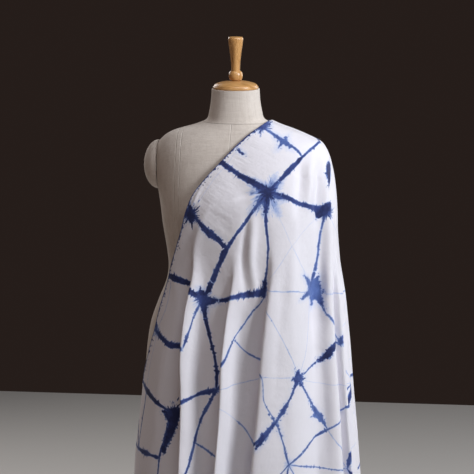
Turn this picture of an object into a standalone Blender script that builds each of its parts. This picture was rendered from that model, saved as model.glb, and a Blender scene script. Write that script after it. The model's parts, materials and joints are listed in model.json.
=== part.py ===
"""A shibori dyed cotton cloth hung over one shoulder of a linen covered dress form on a stand.

Metres, +Z up, the form faces -Y, and the origin is the middle of the stand's flat underside.
"""

import math

import bmesh
import bpy

# Heights of the stand and the form
BASE_RADIUS = 0.190
BASE_THICKNESS = 0.020
BASE_EDGE = 0.004
POLE_RADIUS = 0.016
FORM_BOTTOM = 0.720
FORM_TOP = 1.479
SEAT_GAP = 0.0003

# The form is cut flat at each armhole, and a rounded linen covered cap closes the cut
ARMHOLE_X = 0.170
ARMHOLE_FROM = 1.150
CAP_CENTRE_HEIGHT = 1.310
CAP_HALF_HEIGHT = 0.054
CAP_HALF_DEPTH = 0.046
CAP_BULGE = 0.033
CAP_SEGMENTS = 28
CAP_RINGS = 7

# Bust: two soft mounds on the front of the form
BUST_HEIGHT = 1.215
BUST_X = 0.072
BUST_SPREAD = 0.042
BUST_PROUD = 0.008

# Turned wood on the neck
NECK_CAP_RADIUS = 0.0497
NECK_CAP_RIM = 0.0055
NECK_CAP_CROWN = 0.0175
NECK_CAP_EDGE = 0.002
NECK_CAP_STEPS = 7
COLLAR_RADIUS = 0.0155
COLLAR_HEIGHT = 0.021
HANDLE_FOOT_RADIUS = 0.0097
HANDLE_TOP_RADIUS = 0.0167
HANDLE_HEIGHT = 0.075
HANDLE_WAIST = 0.0103
HANDLE_SHOULDER = 0.0145
HANDLE_CROWN = 0.004
HANDLE_STEPS = 3
TURNED_STEPS = 32

# Cloth
CLOTH_THICKNESS = 0.0018
HEM_HEIGHT = 0.300
HEM_WAVE = 0.008
HEM_WAVE_TURN = 0.33
RIDGE_START_HEIGHT = 1.4105
RIDGE_END_HEIGHT = 1.330
RIDGE_EVEN_DROP = 0.55
RIDGE_LATE_DROP = 0.45
FOLD_CHEST_HEIGHT = 1.200
SETTLES_AT_NECK = 0.012
SETTLES_AT_SHOULDER = 0.10
CLOTH_MIDDLE_X = 0.03
CLOTH_ROWS = 23
ROW_CROWDING = 1.9
SHAPE_POWER = 2.25
WELD = 0.00002

# The form's level sections: height, half width, depth in front, depth behind
FORM_SECTIONS = (
    (0.720, 0.186, 0.106, 0.116),
    (0.765, 0.196, 0.113, 0.124),
    (0.830, 0.2005, 0.118, 0.128),
    (0.900, 0.197, 0.118, 0.124),
    (0.960, 0.188, 0.113, 0.112),
    (1.010, 0.171, 0.106, 0.098),
    (1.055, 0.153, 0.100, 0.087),
    (1.090, 0.148, 0.098, 0.083),
    (1.130, 0.152, 0.104, 0.087),
    (1.180, 0.160, 0.118, 0.095),
    (1.215, 0.164, 0.124, 0.099),
    (1.250, 0.169, 0.121, 0.104),
    (1.290, 0.1765, 0.111, 0.107),
    (1.330, 0.179, 0.099, 0.102),
    (1.355, 0.173, 0.089, 0.093),
    (1.374, 0.158, 0.079, 0.082),
    (1.387, 0.134, 0.071, 0.074),
    (1.400, 0.090, 0.064, 0.067),
    (1.412, 0.0640, 0.0590, 0.0610),
    (1.430, 0.0575, 0.0555, 0.0565),
    (1.455, 0.0535, 0.0525, 0.0530),
    (1.479, 0.0520, 0.0515, 0.0515),
)
FORM_COLUMNS = 44

# The cloth's level sections without its folds: height, left, right, depth in front, depth behind
CLOTH_SECTIONS = (
    (0.290, -0.240, 0.280, 0.170, 0.172),
    (0.630, -0.226, 0.2645, 0.162, 0.164),
    (0.750, -0.213, 0.2555, 0.157, 0.158),
    (0.824, -0.2065, 0.2495, 0.154, 0.155),
    (0.900, -0.203, 0.2435, 0.152, 0.150),
    (1.000, -0.186, 0.2360, 0.148, 0.140),
    (1.090, -0.166, 0.2310, 0.145, 0.130),
    (1.167, -0.172, 0.2265, 0.144, 0.121),
    (1.215, -0.182, 0.2245, 0.143, 0.118),
    (1.250, -0.186, 0.2210, 0.139, 0.117),
    (1.290, -0.186, 0.2155, 0.127, 0.116),
    (1.315, -0.186, 0.2105, 0.117, 0.113),
    (1.330, -0.186, 0.2070, 0.110, 0.110),
    (1.349, -0.180, 0.1990, 0.101, 0.103),
    (1.364, -0.171, 0.1875, 0.092, 0.095),
    (1.375, -0.160, 0.1655, 0.086, 0.089),
    (1.3878, -0.134, 0.1344, 0.0795, 0.082),
    (1.401, -0.096, 0.0960, 0.074, 0.077),
    (1.412, -0.072, 0.0720, 0.071, 0.073),
)

# The selvage across the front, as height and sideways place
FRONT_SELVAGE = (
    (0.815, -0.2050),
    (0.889, -0.1853),
    (0.957, -0.1659),
    (1.013, -0.1511),
    (1.086, -0.1293),
    (1.175, -0.1028),
    (1.228, -0.0883),
    (1.270, -0.0679),
    (1.338, -0.0091),
    (1.386, 0.0387),
    (1.4105, 0.0735),
)
# Below the hip it goes on round the side, as height and angle from the front
FRONT_SELVAGE_LOW = (
    (0.290, -124.0),
    (0.450, -119.0),
    (0.630, -109.0),
    (0.750, -98.0),
    (0.815, -90.0),
)
# The other selvage comes down the back, as height and angle from the front
BACK_SELVAGE = (
    (0.290, 228.0),
    (0.450, 229.0),
    (0.630, 232.0),
    (0.750, 235.0),
    (0.815, 236.0),
    (0.882, 234.0),
    (0.948, 231.0),
    (1.003, 228.0),
    (1.072, 222.0),
    (1.158, 212.0),
    (1.252, 198.0),
    (1.326, 176.0),
    (1.380, 150.0),
    (1.400, 122.0),
    (1.4105, 90.0),
)
# Beside a selvage the columns run along it, at least this many degrees apart
COLUMN_APART = 1.3
CROWDED_SHARE = 0.6
TURN_SOFTNESS = 6.0

# Folds from the front selvage round the arm to the back one: name, angle at the chest, angle at the hem,
# how proud at the hem, height where it starts, columns up to the next row
FOLDS = (
    ("front selvage", -60.0, -124.0, 0.000, 1.24, 4),
    ("side panel", -44.0, -62.0, -0.003, 1.20, 4),
    ("first foot", -30.6, -15.8, -0.020, 1.24, 3),
    ("first crest", -29.6, -20.8, 0.022, 1.28, 3),
    ("first fall", -22.6, -12.8, -0.014, 1.24, 3),
    ("second foot", -3.2, -5.0, -0.016, 1.18, 2),
    ("second crest", -2.2, -10.0, 0.020, 1.21, 3),
    ("second fall", 4.0, -3.0, -0.018, 1.19, 3),
    ("third foot", 18.1, 5.7, -0.026, 1.23, 3),
    ("third crest", 19.1, -0.4, 0.017, 1.27, 4),
    ("third panel", 37.0, 21.0, 0.006, 1.25, 3),
    ("arm valley", 57.0, 48.0, -0.026, 1.37, 3),
    ("arm crest", 69.0, 63.0, 0.004, 1.36, 2),
    ("fifth foot", 76.0, 77.0, -0.012, 1.31, 2),
    ("fifth crest", 77.5, 73.5, 0.010, 1.33, 2),
    ("side valley", 86.0, 85.0, -0.010, 1.28, 2),
    ("side", 91.0, 91.0, 0.008, 1.26, 3),
    ("back valley", 99.0, 99.0, -0.014, 1.27, 4),
    ("back first crest", 110.0, 110.0, 0.018, 1.29, 4),
    ("back second valley", 122.0, 123.0, -0.020, 1.27, 4),
    ("back second crest", 133.0, 135.0, 0.018, 1.29, 5),
    ("back third valley", 147.0, 151.0, -0.018, 1.25, 5),
    ("back third crest", 159.0, 165.0, 0.022, 1.27, 5),
    ("back fourth valley", 172.0, 181.0, -0.016, 1.22, 5),
    ("back fourth crest", 182.0, 194.0, 0.016, 1.20, 6),
    ("back panel", 196.0, 212.0, -0.006, 1.15, 5),
    ("back selvage", 210.0, 228.0, 0.000, 1.10, 0),
)
FOLD_GROWTH = 0.36
FOLD_WIDENING = 0.6

LINEN = (0.44, 0.39, 0.33)
COTTON = (0.78, 0.77, 0.84)
HONEY_WOOD = (0.60, 0.33, 0.12)
DARK_METAL = (0.06, 0.055, 0.05)


def clear_scene():
    for obj in list(bpy.data.objects):
        bpy.data.objects.remove(obj, do_unlink=True)


def finish_of(name, colour, roughness, metallic=0.0):
    material = bpy.data.materials.new(name)
    material.use_nodes = True
    shader = material.node_tree.nodes["Principled BSDF"]
    shader.inputs["Base Color"].default_value = (*colour, 1.0)
    shader.inputs["Roughness"].default_value = roughness
    shader.inputs["Metallic"].default_value = metallic
    return material


def smooth(share):
    share = min(max(share, 0.0), 1.0)
    return share * share * (3.0 - 2.0 * share)


def read_table(table, height, column):
    """A smooth curve through the table's rows, which are in order of height."""
    if height <= table[0][0]:
        return table[0][column]
    if height >= table[-1][0]:
        return table[-1][column]
    row = next(i for i in range(1, len(table)) if height <= table[i][0])
    low, high = table[row - 1], table[row]
    before = table[max(row - 2, 0)]
    after = table[min(row + 1, len(table) - 1)]
    span = high[0] - low[0]
    share = (height - low[0]) / span
    slope_low = (high[column] - before[column]) / (high[0] - before[0]) * span
    slope_high = (after[column] - low[column]) / (after[0] - low[0]) * span
    step = smooth(share)
    bend_low = share * (1.0 - share) ** 2
    bend_high = -share * share * (1.0 - share)
    ends = low[column] * (1.0 - step) + high[column] * step
    return ends + slope_low * bend_low + slope_high * bend_high


def rounded(value):
    """Sine or cosine bent so that a section is a little squarer than an ellipse."""
    return math.copysign(abs(value) ** (2.0 / SHAPE_POWER), value)


def angle_of(share):
    """The angle whose rounded sine is this share."""
    share = min(max(share, -1.0), 1.0)
    return math.asin(math.copysign(abs(share) ** (SHAPE_POWER / 2.0), share))


def new_object(name, bm, material, parent):
    mesh = bpy.data.meshes.new(name)
    bm.to_mesh(mesh)
    bm.free()
    mesh.shade_smooth()
    obj = bpy.data.objects.new(name, mesh)
    obj.data.materials.append(material)
    obj.parent = parent
    bpy.context.scene.collection.objects.link(obj)
    return obj


def placed_grid(columns, rows, place):
    """A grid whose points are put where place(across, down) says, both from 0 to 1."""
    bm = bmesh.new()
    bmesh.ops.create_grid(bm, x_segments=columns, y_segments=rows, size=0.5)
    for vert in bm.verts:
        vert.co = place(vert.co.x + 0.5, 0.5 - vert.co.y)
    bmesh.ops.remove_doubles(bm, verts=bm.verts, dist=WELD)
    return bm


def face_outwards(bm, axis_x):
    bmesh.ops.recalc_face_normals(bm, faces=bm.faces)
    outward = 0.0
    for face in bm.faces:
        middle = face.calc_center_median()
        outward += face.normal.x * (middle.x - axis_x) + face.normal.y * middle.y
    if outward < 0.0:
        bmesh.ops.reverse_faces(bm, faces=bm.faces)


def form_point(around, up):
    """A point on the form: around from 0 to 1, up from the bottom edge to the neck."""
    last = len(FORM_SECTIONS) - 1
    row = round(up * last)
    height, half_width, front, back = FORM_SECTIONS[row]
    angle = 2.0 * math.pi * around
    side = rounded(math.sin(angle))
    face = rounded(math.cos(angle))
    x = half_width * side
    y = -front * face if face > 0.0 else -back * face
    if face > 0.0:
        lift = (height - BUST_HEIGHT) / BUST_SPREAD
        for centre in (-BUST_X, BUST_X):
            reach = (x - centre) / BUST_SPREAD
            y -= BUST_PROUD * math.exp(-reach * reach - lift * lift)
    return x, y, height


def build_form(material, parent):
    bm = placed_grid(FORM_COLUMNS, len(FORM_SECTIONS) - 1, form_point)
    bmesh.ops.holes_fill(bm, edges=[edge for edge in bm.edges if edge.is_boundary], sides=0)
    for side in (-1.0, 1.0):
        faces = [face for face in bm.faces if face.calc_center_median().z > ARMHOLE_FROM]
        edges = {edge for face in faces for edge in face.edges}
        verts = {vert for face in faces for vert in face.verts}
        cut = bmesh.ops.bisect_plane(
            bm,
            geom=faces + list(edges) + list(verts),
            dist=WELD,
            plane_co=(side * ARMHOLE_X, 0.0, 0.0),
            plane_no=(side, 0.0, 0.0),
            clear_outer=True,
        )
        rim = [item for item in cut["geom_cut"] if isinstance(item, bmesh.types.BMEdge)]
        bmesh.ops.holes_fill(bm, edges=rim, sides=0)
    bmesh.ops.recalc_face_normals(bm, faces=bm.faces)
    return new_object("form_body", bm, material, parent)


def build_cap(name, side, material, parent):
    """A linen covered arm cap: half a flattened ball whose flat face sits against the armhole."""

    def place(around, out):
        angle = 2.0 * math.pi * around
        rise = math.cos(out * math.pi / 2.0)
        x = ARMHOLE_X + SEAT_GAP + CAP_BULGE * math.sin(out * math.pi / 2.0)
        y = CAP_HALF_DEPTH * rise * math.cos(angle)
        z = CAP_CENTRE_HEIGHT + CAP_HALF_HEIGHT * rise * math.sin(angle)
        return side * x, y, z

    bm = placed_grid(CAP_SEGMENTS, CAP_RINGS, place)
    bmesh.ops.holes_fill(bm, edges=[edge for edge in bm.edges if edge.is_boundary], sides=0)
    bmesh.ops.recalc_face_normals(bm, faces=bm.faces)
    return new_object(name, bm, material, parent)


def turned(name, profile, material, parent):
    """A shape turned about Z from a profile of radius and height that starts and ends on the axis."""
    bm = bmesh.new()
    verts = [bm.verts.new((radius, 0.0, height)) for radius, height in profile]
    edges = [bm.edges.new(pair) for pair in zip(verts, verts[1:])]
    bmesh.ops.spin(
        bm,
        geom=verts + edges,
        cent=(0.0, 0.0, 0.0),
        axis=(0.0, 0.0, 1.0),
        angle=2.0 * math.pi,
        steps=TURNED_STEPS,
        use_merge=True,
    )
    bmesh.ops.remove_doubles(bm, verts=bm.verts, dist=WELD)
    bmesh.ops.recalc_face_normals(bm, faces=bm.faces)
    return new_object(name, bm, material, parent)


def quarter_round(start_radius, start_height, end_radius, end_height, steps, bulge_out):
    """Points of a quarter ellipse between two ends, the start left out."""
    points = []
    for step in range(1, steps + 1):
        turn = math.pi / 2.0 * step / steps
        first = math.sin(turn)
        second = 1.0 - math.cos(turn)
        across, up = (second, first) if bulge_out else (first, second)
        radius = start_radius + (end_radius - start_radius) * across
        height = start_height + (end_height - start_height) * up
        points.append((radius, height))
    return points


def build_neck_cap(material, parent):
    foot = FORM_TOP + SEAT_GAP
    rim_top = foot + NECK_CAP_RIM
    top = foot + NECK_CAP_CROWN
    profile = [(0.0, foot), (NECK_CAP_RADIUS - NECK_CAP_EDGE, foot)]
    profile += [(NECK_CAP_RADIUS, foot + NECK_CAP_EDGE), (NECK_CAP_RADIUS, rim_top)]
    profile += quarter_round(NECK_CAP_RADIUS, rim_top, 0.0, top, NECK_CAP_STEPS, True)
    return turned("neck_cap", profile, material, parent)


def build_finial(material, parent):
    foot = FORM_TOP + SEAT_GAP + NECK_CAP_CROWN + SEAT_GAP
    middle = foot + COLLAR_HEIGHT / 2.0
    collar_top = foot + COLLAR_HEIGHT
    handle_top = collar_top + HANDLE_HEIGHT
    crown_foot = handle_top - HANDLE_CROWN
    profile = [(0.0, foot), (HANDLE_FOOT_RADIUS, foot)]
    profile += quarter_round(HANDLE_FOOT_RADIUS, foot, COLLAR_RADIUS, middle, HANDLE_STEPS, False)
    profile += quarter_round(
        COLLAR_RADIUS, middle, HANDLE_FOOT_RADIUS, collar_top, HANDLE_STEPS, True
    )
    profile.append((HANDLE_WAIST, collar_top + HANDLE_HEIGHT * 0.25))
    profile.append((HANDLE_SHOULDER, collar_top + HANDLE_HEIGHT * 0.70))
    profile.append((HANDLE_TOP_RADIUS, crown_foot))
    profile += quarter_round(HANDLE_TOP_RADIUS, crown_foot, 0.0, handle_top, HANDLE_STEPS, True)
    return turned("finial", profile, material, parent)


def build_pole(material, parent):
    foot = BASE_THICKNESS + SEAT_GAP
    top = FORM_BOTTOM - SEAT_GAP
    profile = [(0.0, foot), (POLE_RADIUS, foot), (POLE_RADIUS, top), (0.0, top)]
    return turned("stand_pole", profile, material, parent)


def build_base(material, parent):
    edge = BASE_RADIUS - BASE_EDGE
    profile = [(0.0, 0.0), (edge, 0.0), (BASE_RADIUS, BASE_EDGE)]
    profile.append((BASE_RADIUS, BASE_THICKNESS - BASE_EDGE))
    profile += [(edge, BASE_THICKNESS), (0.0, BASE_THICKNESS)]
    return turned("stand_base", profile, material, parent)


def cloth_section(height):
    left = read_table(CLOTH_SECTIONS, height, 1)
    right = read_table(CLOTH_SECTIONS, height, 2)
    front = read_table(CLOTH_SECTIONS, height, 3)
    back = read_table(CLOTH_SECTIONS, height, 4)
    return (left + right) / 2.0, (right - left) / 2.0, front, back


def front_selvage_angle(height):
    if height <= FRONT_SELVAGE[0][0]:
        return read_table(FRONT_SELVAGE_LOW, height, 1)
    middle, half, _, _ = cloth_section(height)
    place = read_table(FRONT_SELVAGE, height, 1)
    return math.degrees(angle_of((place - middle) / half))


def soft_max(first, second, softness):
    """The larger of two angles, rounded off where they cross."""
    apart = abs(first - second)
    if apart >= softness:
        return max(first, second)
    return max(first, second) + (softness - apart) ** 2 / (4.0 * softness)


def fold_at(column):
    """The two rows of the fold table on either side of a column, and the share between them."""
    for row in range(len(FOLDS) - 1):
        count = FOLDS[row][5]
        if column <= count:
            return FOLDS[row], FOLDS[row + 1], column / count
        column -= count
    return FOLDS[-2], FOLDS[-1], 1.0


def hanging_angle(column, last_column, height):
    """Where a column of the cloth lies at a height, as the angle from the front in degrees."""
    down = (FOLD_CHEST_HEIGHT - height) / (FOLD_CHEST_HEIGHT - HEM_HEIGHT)
    first, second, share = fold_at(column)
    first_angle = first[1] + (first[2] - first[1]) * down
    second_angle = second[1] + (second[2] - second[1]) * down
    angle = first_angle + (second_angle - first_angle) * share
    start = front_selvage_angle(height)
    end = read_table(BACK_SELVAGE, height, 1)
    if column == 0:
        return start
    if column == last_column:
        return end
    apart = min(COLUMN_APART, CROWDED_SHARE * (end - start) / last_column)
    angle = soft_max(angle, start + apart * column, TURN_SOFTNESS)
    return -soft_max(-angle, apart * (last_column - column) - end, TURN_SOFTNESS)


def fold_proud(column, height):
    first, second, share = fold_at(column)
    proud = []
    for row in (first, second):
        growth = smooth((row[4] - height) / FOLD_GROWTH)
        further = max(0.0, FOLD_CHEST_HEIGHT - FOLD_GROWTH - height) * FOLD_WIDENING
        proud.append(row[3] * growth * (1.0 + further))
    return proud[0] + (proud[1] - proud[0]) * smooth(share)


def cloth_point(across, down):
    """A point of the cloth: across from the front selvage to the back one, down from the shoulder."""
    last_column = sum(row[5] for row in FOLDS)
    column = round(across * last_column)
    half_count = last_column // 2
    from_neck = min(column, last_column - column) / half_count
    drop = RIDGE_EVEN_DROP * from_neck + RIDGE_LATE_DROP * from_neck ** 3
    top = RIDGE_START_HEIGHT - (RIDGE_START_HEIGHT - RIDGE_END_HEIGHT) * drop
    hem = HEM_HEIGHT + HEM_WAVE * math.sin(column * HEM_WAVE_TURN)
    height = top + (hem - top) * down ** ROW_CROWDING

    angle = math.radians(hanging_angle(column, last_column, height))
    middle, half, front, back = cloth_section(height)
    behind = column > half_count
    place = middle + half * rounded(math.sin(angle))
    ridge_middle, ridge_half, _, _ = cloth_section(top)
    ridge_place = ridge_middle + ridge_half
    on_shoulder = smooth(from_neck * 2.2) * (1.0 - smooth(from_neck * 2.0 - 1.0))
    fall = SETTLES_AT_NECK + SETTLES_AT_SHOULDER * on_shoulder
    settled = smooth((top - height) / fall)
    if column in (0, last_column):
        settled = 1.0 if down > 0.0 else 0.0
    if settled < 1.0:
        place = ridge_place + (place - ridge_place) * settled
        angle = angle_of((place - middle) / half)
        if behind:
            angle = math.pi - angle
    face = rounded(math.cos(angle))
    x = middle + half * rounded(math.sin(angle))
    y = -front * face if face > 0.0 else -back * face

    proud = fold_proud(column, height)
    outward_x = math.sin(angle)
    outward_y = -math.cos(angle)
    return x + outward_x * proud, y + outward_y * proud, height


def build_cloth(material, parent):
    columns = sum(row[5] for row in FOLDS)
    bm = placed_grid(columns, CLOTH_ROWS, cloth_point)
    face_outwards(bm, CLOTH_MIDDLE_X)
    obj = new_object("cloth", bm, material, parent)
    wall = obj.modifiers.new("thickness", "SOLIDIFY")
    wall.thickness = CLOTH_THICKNESS
    wall.offset = 1.0
    return obj


def main():
    clear_scene()
    stand = bpy.data.objects.new("stand", None)
    bpy.context.scene.collection.objects.link(stand)
    linen = finish_of("linen", LINEN, 0.85)
    cotton = finish_of("dyed_cotton", COTTON, 0.7)
    wood = finish_of("honey_wood", HONEY_WOOD, 0.4)
    metal = finish_of("dark_metal", DARK_METAL, 0.45, 0.6)
    build_form(linen, stand)
    build_cap("arm_cap_right", -1.0, linen, stand)
    build_cap("arm_cap_left", 1.0, linen, stand)
    build_neck_cap(wood, stand)
    build_finial(wood, stand)
    build_pole(metal, stand)
    build_base(metal, stand)
    build_cloth(cotton, stand)


main()
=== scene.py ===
# %% [markdown]
# A shibori dyed cotton cloth hung over one shoulder of a dress form
#
# The solids of the part are loaded first and stay where they are. Each step below
# makes one finished piece over them: the thin cloth on its folds, the linen skin of
# the form, the turned wood and the stand.

# %% Load the frame
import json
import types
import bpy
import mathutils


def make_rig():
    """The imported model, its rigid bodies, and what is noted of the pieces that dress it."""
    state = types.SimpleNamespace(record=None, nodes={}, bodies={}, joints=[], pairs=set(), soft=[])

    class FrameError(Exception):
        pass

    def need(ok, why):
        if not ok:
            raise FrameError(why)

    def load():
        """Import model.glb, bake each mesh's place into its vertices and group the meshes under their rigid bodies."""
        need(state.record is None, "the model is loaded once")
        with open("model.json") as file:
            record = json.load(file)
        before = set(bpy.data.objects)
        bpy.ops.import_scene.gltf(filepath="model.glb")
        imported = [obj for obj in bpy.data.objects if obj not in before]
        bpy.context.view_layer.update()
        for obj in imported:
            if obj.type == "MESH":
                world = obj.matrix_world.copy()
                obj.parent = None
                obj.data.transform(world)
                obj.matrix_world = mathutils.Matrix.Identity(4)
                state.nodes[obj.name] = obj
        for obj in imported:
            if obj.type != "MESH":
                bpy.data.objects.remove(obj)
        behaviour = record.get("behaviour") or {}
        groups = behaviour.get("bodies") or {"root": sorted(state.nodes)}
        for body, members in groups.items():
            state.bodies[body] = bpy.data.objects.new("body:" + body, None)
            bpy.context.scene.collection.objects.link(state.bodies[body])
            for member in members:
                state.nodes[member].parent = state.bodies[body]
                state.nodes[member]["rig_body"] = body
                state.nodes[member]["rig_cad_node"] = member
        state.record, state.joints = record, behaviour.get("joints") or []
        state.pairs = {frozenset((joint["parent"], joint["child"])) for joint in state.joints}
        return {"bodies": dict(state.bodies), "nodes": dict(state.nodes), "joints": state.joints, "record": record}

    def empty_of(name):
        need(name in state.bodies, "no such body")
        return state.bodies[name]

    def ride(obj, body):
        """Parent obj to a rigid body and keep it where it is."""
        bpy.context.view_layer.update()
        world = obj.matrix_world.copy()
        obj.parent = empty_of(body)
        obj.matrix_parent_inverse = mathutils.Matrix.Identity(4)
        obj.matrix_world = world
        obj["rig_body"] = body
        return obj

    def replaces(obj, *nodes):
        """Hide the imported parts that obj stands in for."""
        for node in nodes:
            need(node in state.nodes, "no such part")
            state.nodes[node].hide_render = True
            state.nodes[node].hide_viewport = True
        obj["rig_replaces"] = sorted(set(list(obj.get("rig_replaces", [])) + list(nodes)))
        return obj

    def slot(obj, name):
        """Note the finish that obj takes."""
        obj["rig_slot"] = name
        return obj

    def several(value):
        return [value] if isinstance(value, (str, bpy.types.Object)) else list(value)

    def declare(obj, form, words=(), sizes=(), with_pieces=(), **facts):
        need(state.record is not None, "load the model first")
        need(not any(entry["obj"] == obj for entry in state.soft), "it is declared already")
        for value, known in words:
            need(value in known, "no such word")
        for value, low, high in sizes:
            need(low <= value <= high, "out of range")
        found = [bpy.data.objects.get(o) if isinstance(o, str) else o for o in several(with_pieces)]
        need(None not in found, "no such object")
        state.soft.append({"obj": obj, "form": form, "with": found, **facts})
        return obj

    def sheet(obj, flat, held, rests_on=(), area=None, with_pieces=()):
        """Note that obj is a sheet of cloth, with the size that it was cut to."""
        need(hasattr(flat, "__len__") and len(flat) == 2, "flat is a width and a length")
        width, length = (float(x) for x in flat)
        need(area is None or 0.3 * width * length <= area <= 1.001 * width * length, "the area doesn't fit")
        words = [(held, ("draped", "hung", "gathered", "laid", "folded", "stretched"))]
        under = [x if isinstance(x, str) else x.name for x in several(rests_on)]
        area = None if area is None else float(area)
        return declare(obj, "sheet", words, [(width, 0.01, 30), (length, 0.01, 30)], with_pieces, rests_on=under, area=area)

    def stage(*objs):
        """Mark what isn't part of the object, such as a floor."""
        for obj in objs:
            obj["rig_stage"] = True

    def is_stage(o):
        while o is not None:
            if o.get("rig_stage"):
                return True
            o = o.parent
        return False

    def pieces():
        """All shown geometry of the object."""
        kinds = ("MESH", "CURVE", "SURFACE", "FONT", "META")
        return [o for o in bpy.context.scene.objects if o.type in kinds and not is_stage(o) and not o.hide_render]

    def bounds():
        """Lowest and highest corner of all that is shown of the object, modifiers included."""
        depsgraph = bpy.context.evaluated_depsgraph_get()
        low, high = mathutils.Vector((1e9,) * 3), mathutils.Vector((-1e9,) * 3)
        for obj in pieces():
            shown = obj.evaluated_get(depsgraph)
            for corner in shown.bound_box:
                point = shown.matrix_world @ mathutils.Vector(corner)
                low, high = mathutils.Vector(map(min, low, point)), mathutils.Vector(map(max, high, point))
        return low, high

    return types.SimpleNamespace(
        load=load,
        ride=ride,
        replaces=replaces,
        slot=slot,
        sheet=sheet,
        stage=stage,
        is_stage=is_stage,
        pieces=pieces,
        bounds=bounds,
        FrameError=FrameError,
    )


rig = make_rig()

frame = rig.load()

import json
import math

import bmesh
import bpy
import numpy as np
from mathutils import Vector, noise

solid_low, solid_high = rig.bounds()
print("solids from", [round(v, 3) for v in solid_low], "to", [round(v, 3) for v in solid_high])

# %% [markdown]
# Camera
#
# The photo was taken from a little to the form's left and a little above the
# shoulder, from far away, so upright lines stay upright. A long lens 8 m away gives
# the same flat look. One pixel of the 474 pixel picture is 2.2 mm at the form.

# %% Camera
IMAGE_SIZE = 474
METRES_PER_PIXEL = 0.0022
VIEW_TURN = math.radians(9.0)
VIEW_DOWN = math.radians(8.5)
VIEW_AWAY = 8.0
VIEW_TARGET = Vector((0.003, 0.0, 1.151))
SENSOR = 36.0

VIEW_BACK = Vector((
    math.sin(VIEW_TURN) * math.cos(VIEW_DOWN),
    -math.cos(VIEW_TURN) * math.cos(VIEW_DOWN),
    math.sin(VIEW_DOWN),
))
VIEW_RIGHT = Vector((math.cos(VIEW_TURN), math.sin(VIEW_TURN), 0.0))
VIEW_UP = VIEW_BACK.cross(VIEW_RIGHT)
CAMERA_PLACE = VIEW_TARGET + VIEW_BACK * VIEW_AWAY

camera_data = bpy.data.cameras.new("camera")
camera_data.sensor_width = SENSOR
camera_data.lens = SENSOR * VIEW_AWAY / (IMAGE_SIZE * METRES_PER_PIXEL)
camera = bpy.data.objects.new("camera", camera_data)
camera.location = CAMERA_PLACE
camera.rotation_euler = (-VIEW_BACK).to_track_quat("-Z", "Y").to_euler()
bpy.context.scene.collection.objects.link(camera)
bpy.context.scene.camera = camera
print("lens", round(camera_data.lens), "mm")

# %% [markdown]
# Light
#
# The main light comes from above on the viewer's right and makes one side of every
# fold bright and the other grey. A weak warm light on the left fills the shade. Two
# lights behind keep the back readable from other sides.

# %% Lights, world and floor
LIGHTS = (
    # name, place, size, watts, colour
    ("key_light", (2.4, -1.15, 2.6), 0.9, 84.0, (0.94, 0.965, 1.0)),
    ("top_light", (0.5, -1.2, 3.4), 0.9, 20.0, (0.98, 0.975, 1.0)),
    ("fill_light", (-2.4, -2.6, 1.6), 2.5, 6.2, (1.0, 0.50, 0.26)),
    ("back_left_light", (-2.2, 2.6, 2.4), 1.8, 40.0, (1.0, 0.95, 0.92)),
    ("back_right_light", (2.4, 3.0, 2.0), 1.8, 36.0, (0.97, 0.98, 1.0)),
)
for name, place, size, watts, colour in LIGHTS:
    light_data = bpy.data.lights.new(name, "AREA")
    light_data.size = size
    light_data.energy = watts
    light_data.color = colour
    light = bpy.data.objects.new(name, light_data)
    light.location = place
    light.rotation_euler = (VIEW_TARGET - Vector(place)).to_track_quat("-Z", "Y").to_euler()
    bpy.context.scene.collection.objects.link(light)

world = bpy.data.worlds.new("studio")
world.use_nodes = True
world.node_tree.nodes["Background"].inputs["Color"].default_value = (0.019, 0.0125, 0.0105, 1.0)
bpy.context.scene.world = world
bpy.context.scene.view_settings.view_transform = "Standard"


def new_piece(name, bm, sharp=None):
    """Turns a bmesh into an object of the scene, shaded smooth up to an angle if given."""
    mesh = bpy.data.meshes.new(name)
    bm.to_mesh(mesh)
    bm.free()
    mesh.shade_smooth()
    if sharp is not None:
        mesh.set_sharp_from_angle(angle=math.radians(sharp))
    piece = bpy.data.objects.new(name, mesh)
    bpy.context.scene.collection.objects.link(piece)
    return piece


FLOOR_HALF = 4.0
floor_bm = bmesh.new()
bmesh.ops.create_grid(floor_bm, x_segments=1, y_segments=1, size=FLOOR_HALF)
floor = new_piece("floor", floor_bm)
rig.stage(floor)
print("lights", len(LIGHTS))

# %% [markdown]
# Short names for shader nodes
#
# A finish is a small graph of nodes. Arithmetic on a Value adds one maths node each
# time, and the helpers add one node of another kind, so that a finish below reads
# like a formula. A plain number goes straight into its socket.


# %% Shader helpers
class Value:
    """An output in a graph of nodes."""

    def __init__(self, graph, socket):
        self.graph, self.socket = graph, socket

    def maths(self, operation, *others, clamp=False):
        inputs = dict(enumerate((self, *others)))
        return node_value(
            self.graph, "ShaderNodeMath", 0, inputs, operation=operation, use_clamp=clamp
        )

    def scaled(self, factor, more, clamp=False):
        return self.maths("MULTIPLY_ADD", factor, more, clamp=clamp)

    def at_least(self, other):
        return self.maths("MAXIMUM", other)

    def __add__(self, other):
        return self.maths("ADD", other)

    def __sub__(self, other):
        return self.maths("SUBTRACT", other)

    def __mul__(self, other):
        return self.maths("MULTIPLY", other)

    def __truediv__(self, other):
        return self.maths("DIVIDE", other)

    def __pow__(self, other):
        return self.maths("POWER", other)

    def __abs__(self):
        return self.maths("ABSOLUTE")

    def __round__(self):
        return self.maths("ROUND")


def connect(node, inputs):
    """Links each named socket to a value, or sets it to a number or colour."""
    for name, value in inputs.items():
        if isinstance(value, Value):
            value.graph.links.new(value.socket, node.inputs[name])
        else:
            node.inputs[name].default_value = value


def node_value(graph, kind, output, inputs, **settings):
    node = graph.nodes.new(kind)
    for name, setting in settings.items():
        setattr(node, name, setting)
    connect(node, inputs)
    return Value(graph, node.outputs[output])


def new_finish(name):
    """A new node material, its graph and its main shader."""
    material = bpy.data.materials.new(name)
    material.use_nodes = True
    return material, material.node_tree, material.node_tree.nodes["Principled BSDF"]


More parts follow.
